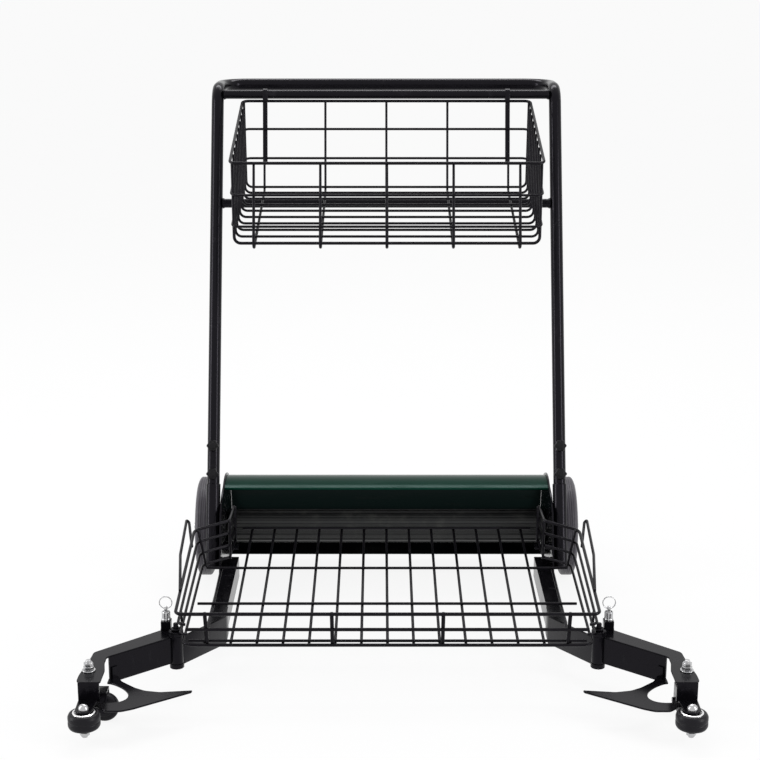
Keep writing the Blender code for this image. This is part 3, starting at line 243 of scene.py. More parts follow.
def soft_outline(corners, radius, steps=5):
    """A closed outline in plan with every corner rounded, by no more than a third of its sides."""
    corners = np.asarray(corners, float)
    back, on = np.roll(corners, 1, 0) - corners, np.roll(corners, -1, 0) - corners
    shorter = np.minimum(np.linalg.norm(back, axis=1), np.linalg.norm(on, axis=1))
    reach = np.minimum(radius, shorter / 3.0)
    first, last = corners + unit(back) * reach[:, None], corners + unit(on) * reach[:, None]
    return curves(first, corners, last, steps)


def placed(points, right, up, origin):
    """Points moved from (x, y, z) to origin + x right + y up + z (right x up)."""
    right, up = np.asarray(right, float), np.asarray(up, float)
    axes = np.stack([right, up, np.cross(right, up)])
    return points @ axes + np.asarray(origin, float)


def mirror(points):
    """The same surface on the other side of x = 0."""
    return points * np.array([-1.0, 1.0, 1.0])


def mesh_of(name, surfaces):
    """One mesh from grids of points: each grid's rows run open and its columns close round."""
    points, quads, start = [], [], 0
    for grid in surfaces:
        rows, columns = grid.shape[:2]
        row, column = np.arange(rows - 1)[:, None], np.arange(columns)[None]
        here = start + row * columns + column
        beside = start + row * columns + (column + 1) % columns
        quads.append(np.stack([here, beside, beside + columns, here + columns], -1).reshape(-1, 4))
        points.append(grid.reshape(-1, 3))
        start += rows * columns
    mesh = bpy.data.meshes.new(name)
    mesh.from_pydata(np.vstack(points).tolist(), [], np.vstack(quads).tolist())
    return mesh


def closed_mesh(name, surfaces):
    """Surfaces as one mesh whose seams and flat ends are closed and whose faces point out."""
    mesh = mesh_of(name, surfaces)
    bm = bmesh.new()
    bm.from_mesh(mesh)
    bmesh.ops.remove_doubles(bm, verts=bm.verts, dist=1e-6)
    bmesh.ops.dissolve_degenerate(bm, dist=1e-7, edges=bm.edges)
    bmesh.ops.holes_fill(bm, edges=[edge for edge in bm.edges if edge.is_boundary])
    bmesh.ops.recalc_face_normals(bm, faces=bm.faces)
    bm.to_mesh(mesh)
    bm.free()
    return mesh


def piece(name, surfaces, finish, body, stands_for=(), sharp=40.0):
    """A piece from surfaces, its poles and seams closed, riding on a body."""
    dress(name, closed_mesh(name, surfaces), finish, body, stands_for, sharp)


def dress(name, mesh, finish, body, stands_for, sharp):
    """A mesh as a named piece with its finish, riding on a body in place of CAD nodes."""
    mesh.materials.clear()
    mesh.materials.append(FINISHES[finish])
    mesh.shade_smooth()
    mesh.set_sharp_from_angle(angle=math.radians(sharp))
    made = bpy.data.objects.new(name, mesh)
    bpy.context.scene.collection.objects.link(made)
    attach(made, body)
    if stands_for:
        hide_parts(*stands_for)
    return made


def edged(node, body):
    """A black copy of a folded sheet piece with its edges broken, in place of the CAD node."""
    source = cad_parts[node]
    bm = bmesh.new()
    bm.from_mesh(source.data)
    bmesh.ops.remove_doubles(bm, verts=bm.verts, dist=1e-5)
    bmesh.ops.dissolve_limit(bm, angle_limit=math.radians(1.0), verts=bm.verts, edges=bm.edges)
    mesh = bpy.data.meshes.new(node + "_edged")
    bm.to_mesh(mesh)
    bm.free()
    made = dress(node + "_edged", mesh, "black", body, (node,), 50.0)
    bevel = made.modifiers.new("edges", "BEVEL")
    bevel.width = 0.0005
    bevel.segments = 2
    bevel.limit_method = "ANGLE"
    bevel.angle_limit = math.radians(40.0)
    bevel.harden_normals = True


# Finishes

class Value:
    """A node's output; arithmetic on it adds Math nodes."""

    def __init__(self, shade, socket):
        self.shade, self.socket = shade, socket

    def math(self, operation, *values):
        return self.shade.node("ShaderNodeMath", {"operation": operation}, dict(enumerate(values)))

    def __add__(self, other):
        return self.math("ADD", self, other)

    def __sub__(self, other):
        return self.math("SUBTRACT", self, other)

    def __mul__(self, other):
        return self.math("MULTIPLY", self, other)

    def __pow__(self, other):
        return self.math("POWER", self, other)

    def between(self, low, high):
        """0 below low, 1 above high and smooth in between."""
        return self.shade.node(
            "ShaderNodeMapRange", {"interpolation_type": "SMOOTHSTEP"},
            {"Value": self, "From Min": low, "From Max": high},
        )


class Shade:
    """A Principled material whose varying sockets are worked out from Object coordinates."""

    def __init__(self, name, **fixed):
        self.material = bpy.data.materials.new(name)
        self.material.use_nodes = True
        self.nodes = self.material.node_tree.nodes
        self.links = self.material.node_tree.links
        self.shader = self.nodes["Principled BSDF"]
        for socket, value in fixed.items():
            self.shader.inputs[socket.replace("_", " ")].default_value = value
        self.place = self.node("ShaderNodeTexCoord", output="Object")

    def node(self, kind, settings=None, inputs=None, output=0):
        """Any node's output: its settings go first, then the values or links of its sockets."""
        made = self.nodes.new(kind)
        for key, value in (settings or {}).items():
            setattr(made, key, value)
        for key, value in (inputs or {}).items():
            if isinstance(value, Value):
                self.links.new(value.socket, made.inputs[key])
            else:
                made.inputs[key].default_value = value
        return Value(self, made.outputs[output])

    def noise(self, scale, detail=2.0, stretch=None, rough=0.5):
        """Soft noise from 0 to 1; a stretch makes its grains longer along an axis."""
        place = self.place
        if stretch is not None:
            place = self.node("ShaderNodeMapping", {}, {"Vector": place, "Scale": stretch})
        return self.node(
            "ShaderNodeTexNoise", {},
            {"Vector": place, "Scale": scale, "Detail": detail, "Roughness": rough},
        )

    def parts(self):
        """The x, y and z of a point of the piece."""
        split = self.nodes.new("ShaderNodeSeparateXYZ")
        self.links.new(self.place.socket, split.inputs[0])
        return [Value(self, socket) for socket in split.outputs]

    def mixed(self, share, first, second):
        """A colour between two, by share."""
        made = self.nodes.new("ShaderNodeMix")
        made.data_type = "RGBA"
        colours = [s for s in made.inputs if s.type == "RGBA"]
        for socket, value in zip([made.inputs["Factor"], *colours], (share, first, second)):
            if isinstance(value, Value):
                self.links.new(value.socket, socket)
            else:
                socket.default_value = (*value, 1.0) if isinstance(value, tuple) else value
        return Value(self, next(s for s in made.outputs if s.type == "RGBA"))

    def feed(self, **values):
        """Links values to the shader's sockets."""
        for socket, value in values.items():
            self.links.new(value.socket, self.shader.inputs[socket.replace("_", " ")])
        return self

    def bumped(self, height, depth):
        """A bump of that depth in metres, read from a height between 0 and 1."""
        settings = {"Height": height, "Distance": depth, "Strength": 1.0}
        return self.feed(Normal=self.node("ShaderNodeBump", {}, settings))


def powder_coat(name, colour, scuffed, roughness):
    """Gloss powder coat: a fine orange peel, soft handling marks and a few dull scuffs."""
    shade = Shade(name, Specular_IOR_Level=0.14, Specular_Tint=(0.91, 0.86, 1.0, 1.0))
    peel = shade.noise(620.0, 2.0)
    cloud = shade.noise(9.0, 3.0)
    marks = shade.noise(34.0, 5.0, (1.0, 2.6, 0.8), 0.62).between(0.60, 0.74)
    specks = shade.noise(480.0, 1.0).between(0.69, 0.76)
    wear = marks * 0.55 + specks * 0.35
    shade.feed(Base_Color=shade.mixed(wear, colour, scuffed))
    shade.feed(Roughness=cloud * 0.07 + marks * 0.14 + roughness)
    return shade.bumped(peel * 0.8 + marks * 0.2, 0.00002).material


def hood_paint_and_shade():
    """Green paint on the hood's outside and edge; its inside, where balls rub it, is near-black
    painted shade.
    """
    tint = (0.45, 1.0, 0.92, 1.0)
    shade = Shade("green_hood_paint_and_shade", Specular_IOR_Level=0.08, Specular_Tint=tint)
    _, across, height = shade.parts()
    radius = ((across - AXLE[1]) ** 2.0 + (height - AXLE[2]) ** 2.0) ** 0.5
    middle = HOOD_RADIUS - HOOD_SHEET / 2.0
    # 1 on the green outer face, 0 on the inside, which carries the painted shade
    outside = radius.between(middle - 0.0003, middle)
    peel = shade.noise(560.0, 2.0)
    cloud = shade.noise(7.0, 3.0)
    rubbed = shade.noise(26.0, 4.0, (0.5, 3.0, 3.0)).between(0.52, 0.72)
    green = shade.mixed(cloud, (0.0003, 0.018, 0.010), (0.0006, 0.026, 0.016))
    # painted shade: the hood's inside gets a near-black colour for the shade under it, with lighter
    # rubbed marks
    black = shade.mixed(rubbed * 0.6, (0.0028, 0.0030, 0.0034), (0.012, 0.012, 0.012))
    shade.feed(Base_Color=shade.mixed(outside, black, green))
    shade.feed(Roughness=cloud * 0.05 + rubbed * 0.10 + 0.14)
    return shade.bumped(peel, 0.00003).material


def zinc(name, dark, light):
    """Zinc or chrome plate: faintly streaked, with dull spots."""
    shade = Shade(name, Metallic=1.0)
    cloud = shade.noise(120.0, 3.0)
    streak = shade.noise(900.0, 2.0, (1.0, 1.0, 0.12))
    spots = shade.noise(420.0, 2.0).between(0.62, 0.72)
    bright = shade.mixed(cloud, dark, light)
    shade.feed(Base_Color=shade.mixed(spots * 0.4, bright, (0.24, 0.235, 0.235)))
    shade.feed(Roughness=cloud * 0.12 + spots * 0.18 + streak * 0.08 + 0.14)
    return shade.bumped(streak, 0.00003).material


def rubber(name, colour, dusty, roughness, gloss=0.18, grain=700.0):
    """Moulded rubber: a dull fine grain with pale dust in it."""
    shade = Shade(name, Specular_IOR_Level=gloss)
    fine = shade.noise(grain, 3.0)
    dust = shade.noise(38.0, 5.0, None, 0.6).between(0.48, 0.80)
    shade.feed(Base_Color=shade.mixed(dust * 0.55 + fine * 0.12, colour, dusty))
    shade.feed(Roughness=dust * 0.16 + fine * 0.08 + roughness)
    return shade.bumped(fine, 0.00012).material


def plastic():
    """Moulded plastic with a spark-eroded grain."""
    shade = Shade("moulded_plastic", Specular_IOR_Level=0.15)
    grain = shade.noise(1500.0, 2.0)
    cloud = shade.noise(60.0, 3.0)
    shade.feed(Base_Color=shade.mixed(cloud, (0.0045, 0.0045, 0.0055), (0.010, 0.0095, 0.011)))
    shade.feed(Roughness=cloud * 0.12 + grain * 0.06 + 0.34)
    return shade.bumped(grain, 0.00008).material


FINISHES = {
    "black": powder_coat(
        "black_powder_coat", (0.0028, 0.0026, 0.0036), (0.016, 0.015, 0.018), 0.16,
    ),
    "wire": powder_coat(
        "black_wire_coat", (0.0026, 0.0024, 0.0032), (0.013, 0.012, 0.015), 0.26,
    ),
    "green": hood_paint_and_shade(),
    "zinc": zinc("bright_zinc", (0.40, 0.405, 0.43), (0.58, 0.575, 0.565)),
    "chrome": zinc("polished_ring", (0.78, 0.78, 0.80), (0.88, 0.87, 0.86)),
    "tyre": rubber(
        "grey_tyre_rubber", (0.046, 0.042, 0.052), (0.130, 0.122, 0.140), 0.38, gloss=0.35,
    ),
    "roller": rubber(
        "black_roller_rubber", (0.0040, 0.0036, 0.0060), (0.022, 0.021, 0.024), 0.34,
    ),
    "drum": rubber(
        "ribbed_drum_rubber", (0.010, 0.0105, 0.011), (0.045, 0.046, 0.042), 0.34,
        gloss=0.30, grain=500.0,
    ),
    "plastic": plastic(),
}


# Frame

def tube_point(height):
    """A point on the leaning tube's centre line in (y, z)."""
    return (FOOT_Y + (height - FOOT_Z) * math.tan(TUBE_LEAN), height)


def both(name, maker, finish, body, nodes=()):
    """The same piece on both sides: the maker gives the right one's surfaces."""
    surfaces = maker()
    for side, flip in (("left", mirror), ("right", lambda points: points)):
        grids, stands_for = [flip(grid) for grid in surfaces], [f"{node}_{side}" for node in nodes]
        piece(f"{name}_{side}", grids, finish, body.format(side=side), stands_for)


def hood_surfaces():
    """The bent sheet and its rolled lip.

    The sheet's section runs along the outer arc and back along the inner one, closed at each end
    of the sheet on the arc between them.
    """
    turn = np.linspace(math.pi - HOOD_LIP, math.pi - HOOD_TAIL, 97)
    spokes = np.stack([np.zeros_like(turn), np.cos(turn), np.sin(turn)], -1)
    radii = (HOOD_RADIUS, HOOD_RADIUS - HOOD_SHEET, HOOD_RADIUS - HOOD_SHEET / 2)
    outer, inner, middle = (AXLE + spokes * radius for radius in radii)
    section = np.vstack([outer, inner[::-1]])
    closing = np.vstack([middle, middle[::-1]])
    rows = [closing, section, section, closing]
    places = (-HOOD_HALF, -HOOD_HALF, HOOD_HALF, HOOD_HALF)
    sheet = np.stack([row + [x, 0.0, 0.0] for row, x in zip(rows, places)])
    lip = outer[0] - [0.0, 0.0, 0.001]
    ends = [lip - [HOOD_HALF, 0, 0], lip + [HOOD_HALF, 0, 0]]
    return [sheet, tube(ends, 0.0022, (0, 0, 1), 20)]


def lower_tube_surfaces():
    """The lower tube with its rounded shoulder and the spigot above it."""
    outside, spigot = 0.0125, 0.0094
    length, reach = ((top - FOOT_Z) / math.cos(TUBE_LEAN) for top in (SEAT_Z, 0.280))
    profile = [(0.0, 0.0), (outside, 0.0), (outside, length)]
    profile += [(spigot, length), (spigot, reach), (0.0, reach)]
    foot = (TUBE_X, FOOT_Y, FOOT_Z)
    return [placed(turned(eased(profile, 0.0016, 4)), RIGHT, np.cross(TUBE_UP, RIGHT), foot)]


def handle_path():
    """The bent tube's middle line: up one leaning side, back, across and down the other."""
    top_y, _ = tube_point(PUSH_BAR_Z)
    half = [(TUBE_X, *tube_point(SEAT_Z + 0.0003)), (TUBE_X, top_y, PUSH_BAR_Z)]
    half.append((TUBE_X, PUSH_BAR_Y, PUSH_BAR_Z))
    corners = half + [(-x, y, z) for x, y, z in reversed(half)]
    return rounded(corners, [0.039, 0.048, 0.048, 0.039], 16)


def build_handle():
    """The bent tube with the four welded nuts of its knobs, and the two cross tubes."""
    surfaces = [swept_free(handle_path(), HANDLE_RADIUS, 32)]
    for side in SIDES.values():
        for height in KNOBS.values():
            nut = hexagon(0.0111, 0.0102, 0.0150, (0, 0, 0))
            surfaces.append(placed(nut, RIGHT, TUBE_UP, (side * TUBE_X, *tube_point(height))))
    piece("handle_bent_tube", surfaces, "black", "handle", ["handle_tube"])
    reach = TUBE_X - 0.0112 - 0.0001
    inner, outer = reach - 0.004, reach - 0.0015  # the weld's fillet
    places = np.array([-reach, -outer, -inner, inner, outer, reach])
    radius = [0.0096, 0.0093, CROSS_RADIUS, CROSS_RADIUS, 0.0093, 0.0096]
    for name, height in CROSS_TUBES.items():
        path = np.column_stack([places, np.full((6, 2), tube_point(height))])
        cross = tube(path, radius, (0, 0, 1), 32, blunt=0.05)
        piece(f"{name}_cross_tube_welded", [cross], "black", "handle", [f"{name}_cross_tube"])


def knob_surfaces(side, height):
    """A six-lobed knob with rolled edges, a raised cap and a threaded screw.

    The knob's height runs forward, square to the leaning tube.
    """
    near, far = 0.0162, 0.0262
    head = [(0.0, near), (0.0085, near), (0.0104, near + 0.0012), (0.0108, near + 0.004)]
    head += [(0.0106, far - 0.0022), (0.0092, far - 0.0004), (0.0062, far), (0.0, far)]
    grids = [turned(eased(head, 0.0008), steps=72, lobes=(6, 0.17))]
    cap = [(0.0, near), (0.0056, near), (0.0056, far + 0.0008)]
    cap += [(0.0046, far + 0.0015), (0.0, far + 0.0015)]
    grids.append(turned(eased(cap, 0.0005)))
    foot, length, threads = 0.0124, 0.0048, np.arange(13)
    zigzag = 0.0027 + 0.0002 * np.cos(threads * math.pi)
    stem = np.stack([zigzag, foot + threads / 12.0 * length], -1)
    grids.append(turned(np.vstack([[(0.0, foot)], stem, [(0.0, foot + length)]]), steps=24))
    origin = (side * TUBE_X, *tube_point(height))
    return [placed(grid, RIGHT, TUBE_UP, origin) for grid in grids]


def build_frame():
    piece("hood_sheet", hood_surfaces(), "green", "chassis", ["hood"])
    both("lower_tube_turned", lower_tube_surfaces, "black", "chassis", ["lower_tube"])
    for name in ("side_plate", "side_rail", "corner_bracket"):
        for side in SIDES:
            edged(f"{name}_{side}", "chassis")
    for side in SIDES:
        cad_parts[f"axle_bush_{side}"].material_slots[0].material = FINISHES["plastic"]
    build_handle()
    for side, sign in SIDES.items():
        for level, height in KNOBS.items():
            node = f"knob_{level}_{side}"
            piece(f"{node}_moulded", knob_surfaces(sign, height), "plastic", node, [node])


# Drum and wheels

def drum_surfaces():
    """The ribbed roller.

    Its section is r(a) = 0.0278 + 0.0022 w, where w goes smoothly from 0 in the grooves to 1 on
    the fourteen ribs.
    """
    ribs, half, bore, edge = 14, 0.284, 0.0063, 0.0008
    turn = circle(ribs * 20)
    share = (turn * ribs / (2.0 * np.pi)) % 1.0
    rise = np.clip((share - 0.46) / 0.10, 0, 1) * np.clip((1.02 - share) / 0.10, 0, 1)
    radius = 0.0278 + 0.0022 * rise * rise * (3.0 - 2.0 * rise)
    spokes = np.stack([np.zeros_like(turn), np.cos(turn), np.sin(turn)], -1)
    grid = []
    for x, reach in (
        (-half, bore), (-half, radius - edge), (-half + edge, radius), (half - edge, radius),
        (half, radius - edge), (half, bore), (-half, bore),
    ):
        grid.append(AXLE + spokes * np.broadcast_to(reach, turn.shape)[:, None] + [x, 0.0, 0.0])
    return [np.stack(grid)]


def axle_surfaces():
    """The through axle with chamfered ends, and a nut outside each wheel."""
    half, radius = 0.349, 0.006
    profile = [(0.0, -half), (radius, -half), (radius, half), (0.0, half)]
    grids = [turned(eased(profile, 0.0012), "X", AXLE, 40)]
    for side in SIDES.values():
        low, high = sorted((side * 0.3378, side * 0.3460))
        grids.append(hexagon(0.0182, low, high, AXLE, "X"))
    return grids


def tyre_surfaces():
    """A solid tyre with a crowned tread, four fine grooves and a moulded ring on its walls."""
    half, rim = 0.0135, 0.0665
    across = np.linspace(-1.0, 1.0, 61)
    crown = 0.0889 - 0.0085 * np.clip((np.abs(across) - 0.52) / 0.48, 0, 1) ** 2.2
    grooves = sum(
        np.exp(-(((across - place) / 0.022) ** 2)) for place in (-0.42, -0.14, 0.14, 0.42))
    tread = np.stack([crown - 0.0007 * grooves, across * half], -1)
    ring = half - 0.0004
    wall = [(0.0790, half), (0.0782, ring), (0.0755, ring), (0.0747, half), (rim, half)]
    profile = np.vstack([[(r, -h) for r, h in reversed(wall)], tread, wall, [(rim, -half)]])
    return [turned(profile, "X", (WHEEL_X, AXLE[1], AXLE[2]), 96)]


def hub_mesh(side):
    """The dished wheel centre, turned, with five round holes cut through its web."""
    rim, boss, bore, flange = 0.0662, 0.0165, 0.0063, 0.0095
    web, dish = rim - 0.006, rim - 0.004
    profile = [(bore, -0.0132), (boss, -0.0132), (boss + 0.002, -0.003), (web, -0.002)]
    profile += [(dish, -flange), (rim, -flange), (rim, flange), (dish, flange)]
    profile += [(web, 0.002), (boss + 0.002, 0.003), (boss, 0.0109), (bore, 0.0109)]
    profile = eased(profile + profile[:2], 0.0016)[1:-1]
    profile = np.vstack([profile, profile[:1]])
    solid = turned(profile, "X", (WHEEL_X, AXLE[1], AXLE[2]), 96)
    holes, ring, half, radius = 5, 0.0395, 0.02, 0.0113
    plug = [(0.0, -half), (radius, -half), (radius, half), (0.0, half)]
    cutters = []
    for k in range(holes):
        angle = 2.0 * math.pi * (k + 0.5) / holes
        y, z = AXLE[1] - ring * math.sin(angle), AXLE[2] - ring * math.cos(angle)
        cutters.append(turned(plug, "X", (WHEEL_X, y, z), 40))
    flip = mirror if side == "left" else np.array
    return carved(f"wheel_hub_{side}_moulded", [flip(solid)], [flip(grid) for grid in cutters])


def carved(name, surfaces, cutters):
    """The exact Boolean difference of two sets of closed surfaces."""
    base = bpy.data.objects.new(name + "_base", closed_mesh(name, surfaces))
    tool = bpy.data.objects.new(name + "_tool", closed_mesh(name + "_tool", cutters))
    for item in (base, tool):
        bpy.context.scene.collection.objects.link(item)
    step = base.modifiers.new("holes", "BOOLEAN")
    step.operation = "DIFFERENCE"
    step.object = tool
    graph = bpy.context.evaluated_depsgraph_get()
    mesh = bpy.data.meshes.new_from_object(base.evaluated_get(graph))
    for item in (base, tool):
        bpy.data.objects.remove(item)
    return mesh


def build_wheels():
    piece("drum_ribbed", drum_surfaces(), "drum", "drum_axle", ["drum"], 35.0)
    piece("axle_turned", axle_surfaces(), "zinc", "drum_axle", ["axle"])
    both("tyre_moulded", tyre_surfaces, "tyre", "drum_axle", ["tyre"])
    for side in SIDES:
        node = f"wheel_hub_{side}"
        dress(f"{node}_moulded", hub_mesh(side), "plastic", "drum_axle", [node], 30.0)


# Upper basket

FRONT_WALL = (0.042, 0.620, 0.143)  # each wall's y at its foot, its foot's z and its height
REAR_WALL = (0.327, 0.679, 0.159)
WALL_LEAN = 0.038
UPPER_WIRE, UPPER_RIM = 0.0022, 0.0026
STRAP_X = 0.219


def wall_y(wall, z):
    """The y of a leaning wall at a height."""
    y, foot, height = wall
    return y + (z - foot) * (WALL_LEAN / height)


def basket_ring(front_z, rear_z, radius):
    """A closed wire round the basket's outside, with rounded corners."""
    out = 0.0017
    _, foot, height = FRONT_WALL
    half = 0.252 + 0.006 * ((front_z - foot) / height) + out
    front, rear = wall_y(FRONT_WALL, front_z) - out, wall_y(REAR_WALL, rear_z) + out
    corners = [(0, front, front_z), (half, front, front_z), (half, rear, rear_z)]
    corners += [(-half, rear, rear_z), (-half, front, front_z), (0, front, front_z)]
    path = rounded(corners, 0.011, 6)[:-1]
    slope = (rear_z - front_z) / (rear - front)
    return tube(path, radius, unit(np.array([0.0, -slope, 1.0])), 12, closed=True)


def upper_basket_surfaces():
    """Three rings outside, ten crosswise U wires inside them and five lengthwise ones below."""
    rings = ((0.662, 0.738, UPPER_WIRE), (0.712, 0.789, UPPER_WIRE), (0.763, 0.838, UPPER_RIM))
    grids = [basket_ring(*ring) for ring in rings]
    low_front, low_rear = np.array([0.0445, 0.6335]), np.array([0.3268, 0.6900])
    top_front, top_rear = np.array([0.0825, 0.7635]), np.array([0.3595, 0.8375])
    for k in range(10):
        share = 0.02 + 0.96 * k / 9
        low = low_front + (low_rear - low_front) * share
        top = top_front + (top_rear - top_front) * share
        half = [(0.252, *low), (0.2563, *top)]
        corners = [(-x, y, z) for x, y, z in reversed(half)] + half
        normal = np.cross(RIGHT, unit(np.array([0.0, *(top - low)])))
        radius = UPPER_WIRE if k else UPPER_RIM
        grids.append(tube(rounded(corners, 0.011, 6), radius, normal, 12))
    front_top, front_foot, rear_foot, inset = 0.7635, 0.6240, 0.6815, 0.0019
    for x in (-0.220, -0.110, 0.0, 0.110, 0.220):
        rear_top = 0.838 if abs(x) < 0.2 else 0.739
        corners = [(x, wall_y(FRONT_WALL, z) + inset, z) for z in (front_top, front_foot)]
        corners += [(x, wall_y(REAR_WALL, z) - inset, z) for z in (rear_foot, rear_top)]
        path = rounded(corners, 0.009, 6)
        grids.append(tube(path, np.where(path[:, 1] < 0.070, UPPER_RIM, 0.0021), RIGHT, 12))
    return grids


def strap_surfaces(x):
    """A flat strap up the rear wall that curls over the cross tube.

    Its section is a thin rounded rectangle carried along the strap's middle line.
    """
    curl = arc(tube_point(CROSS_TUBES["upper"]), CROSS_RADIUS + 0.0014, 180.0, 0.0, 13)
    straight = [(wall_y(REAR_WALL, z) + 0.0042, z) for z in (0.730, 0.826)]
    line = np.vstack([straight, curl, [(curl[-1, 0], 0.839)]])
    path = np.column_stack([np.full(len(line), x), line])
    out = np.cross(directions(path), RIGHT)[:, None]
    turn = circle(16)[None, :, None]
    wide = 0.00425 * np.sign(np.cos(turn)) * np.abs(np.cos(turn)) ** 0.35
    thick = 0.0009 * np.sign(np.sin(turn)) * np.abs(np.sin(turn)) ** 0.6
    return ended(path, path[:, None] + wide * np.array(RIGHT) + thick * out)


def build_upper_basket():
    parts = ("front", "rear", "floor", "side_left", "side_right")
    nodes = [f"upper_basket_{part}" for part in parts]
    wires = upper_basket_surfaces()
    piece("upper_basket_wires", wires, "wire", "upper_basket", nodes, 60.0)
    straps = [strap_surfaces(side * STRAP_X) for side in SIDES.values()]
    piece("upper_basket_straps", straps, "black", "upper_basket")


# Lower basket

LOWER_FOOT, LOWER_HEIGHT, LOWER_SLOPE = 0.0795, 0.0515, 0.0436
LOWER_WIRE, LOWER_RIM = 0.0023, 0.0026


def floor_z(y):
    """The height of the sloping floor."""
    return LOWER_FOOT + (y + 0.313) * LOWER_SLOPE


def front_rail(share):
    """The (y, z) of the front wall at a share of its height."""
    return (-0.3135 - 0.002 * share, LOWER_FOOT + LOWER_HEIGHT * share)


def side_path(share, side):
    """One side rail, from the front corner along the wall and in round the rear corner's bends."""
    half = 0.311 + 0.010 * share + 0.0012
    corners = [(half - 0.012, *front_rail(share)), (half, *front_rail(share))]
    bends = [(half + 0.0025 * share, -0.016, -0.021, 0.156)]
    bends += [(0.2690, 0.0170, 0.017, 0.161), (0.2665, 0.0920, 0.092, 0.161)]
    for x, y, foot_y, top in bends:
        corners.append((x, y, floor_z(foot_y) + (top - floor_z(foot_y)) * share))
    return np.array(corners) * [side, 1.0, 1.0]


def lower_basket_surfaces():
    """Side rails, the front rails between them, posts, and the floor's wires."""
    grids = []
    for share in (0.02, 0.345, 0.67, 1.0):
        for side in (1, -1):
            path = rounded(side_path(share, side), [0.011, 0.020, 0.010], 8)
            grids.append(tube(path, LOWER_RIM if share == 1.0 else LOWER_WIRE, (0, 0, 1), 12))
    for share, radius in ((0.0, LOWER_RIM), (0.505, 0.0027), (1.0, 0.0028)):
        reach = 0.302 + 0.010 * share
        ends = [(x, *front_rail(share)) for x in (-reach, reach)]
        grids.append(tube(ends, radius, (0, 0, 1), 12))
    for x in (-0.275, -0.084, 0.084, 0.275):
        path = [(x, -0.3103, 0.0775), (x * 1.01, -0.3123, 0.1325)]
        grids.append(tube(path, 0.0030, RIGHT, 12))
    posts = [(0.3059, 0.3182, -0.0195, 0.1570), (0.2680, 0.2680, 0.0150, 0.1620)]
    posts.append((0.2645, 0.2645, 0.0870, 0.1620))
    for side in SIDES.values():
        for low_x, top_x, y, top_z in posts:
            path = [(side * low_x, y, floor_z(y) - 0.001), (side * top_x, y, top_z)]
            grids.append(tube(path, LOWER_WIRE, (0, 1, 0), 12))
    front = -0.3055
    for x in np.arange(-7, 8) * 0.040:
        rear = 0.1460 if abs(x) < 0.264 else -0.0210
        path = [(x, y, floor_z(y) - 0.0019) for y in (front, rear)]
        grids.append(tube(path, LOWER_WIRE, RIGHT, 12))
    for y in (-0.3025, -0.170, -0.030, 0.143):
        half = 0.3050 if y < -0.021 else 0.2575
        path = [(x, y, floor_z(y) + 0.0018) for x in (-half, half)]
        grids.append(tube(path, LOWER_WIRE, (0, 0, 1), 12))
    return grids


def hook_surfaces():
    """The right front hook: a bent wire from the side rails, turned round the hinge pin's stud."""
    eye = np.column_stack([arc(HINGE, 0.0058, 207.0, -135.0, 19), np.full(19, 0.0898)])
    start = [(0.3185, -0.268, 0.1150), (0.3185, -0.268, 0.0960), (0.3195, -0.2725, 0.0900)]
    return [swept_free(np.vstack([start, eye]), 0.0019, 12)]


def carry_loop_surfaces():
    """The wire loop outside the side wall, rounded at its apex."""
    corners = [(0.3225, -0.2450, 0.1405), (0.3390, -0.100, 0.1440)]
    corners += [(0.3432, 0.0534, 0.1626), (0.3262, -0.0450, 0.1375)]
    return [tube(rounded(corners, [0.050, 0.003], 10), 0.0024, (0, 0, 1))]


def build_lower_basket():
    nodes = ["lower_basket_front", "lower_basket_floor"]
    nodes += [f"lower_basket_{part}_{side}" for part in ("side", "corner") for side in SIDES]
    wires = lower_basket_surfaces()
    piece("lower_basket_wires", wires, "wire", "lower_basket", nodes, 60.0)
    both("basket_hook", hook_surfaces, "wire", "lower_basket")
    both("carry_loop_bent", carry_loop_surfaces, "wire", "lower_basket", ["carry_loop"])


# Arms

WEB_HALF = 0.0014
WEB_ANGLE = math.radians(-39.4)


def post(x, y, profile):
    """A turned piece that stands on the floor plan at (x, y)."""
    return turned(eased(profile, 0.0005), centre=(x, y, 0.0), steps=40)


def box_outline(left, right, front, rear):
    """A rectangle in plan."""
    return [(left, front), (right, front), (right, rear), (left, rear)]


def hinge_pin_surfaces():
    """The arm's pin with a domed foot, a washer above and a stud."""
    pin = [(0.0, 0.0245), (0.0060, 0.0250), (0.0098, 0.0285), (0.0100, 0.0335), (0.0049, 0.0335)]
    pin += [(0.0049, 0.0848), (0.0110, 0.0848), (0.0110, 0.0872)]
    pin += [(0.0040, 0.0872), (0.0040, 0.0985), (0.0030, 0.0995), (0.0, 0.0995)]
    return [post(*HINGE, pin)]


def along_arm(*places):
    """Points in plan from their distances along the arm's web and out from it."""
    across, on = math.sin(WEB_ANGLE), math.cos(WEB_ANGLE)
    return [
        (HINGE[0] + distance * on - out * across, HINGE[1] + distance * across + out * on)
        for distance, out in places
    ]


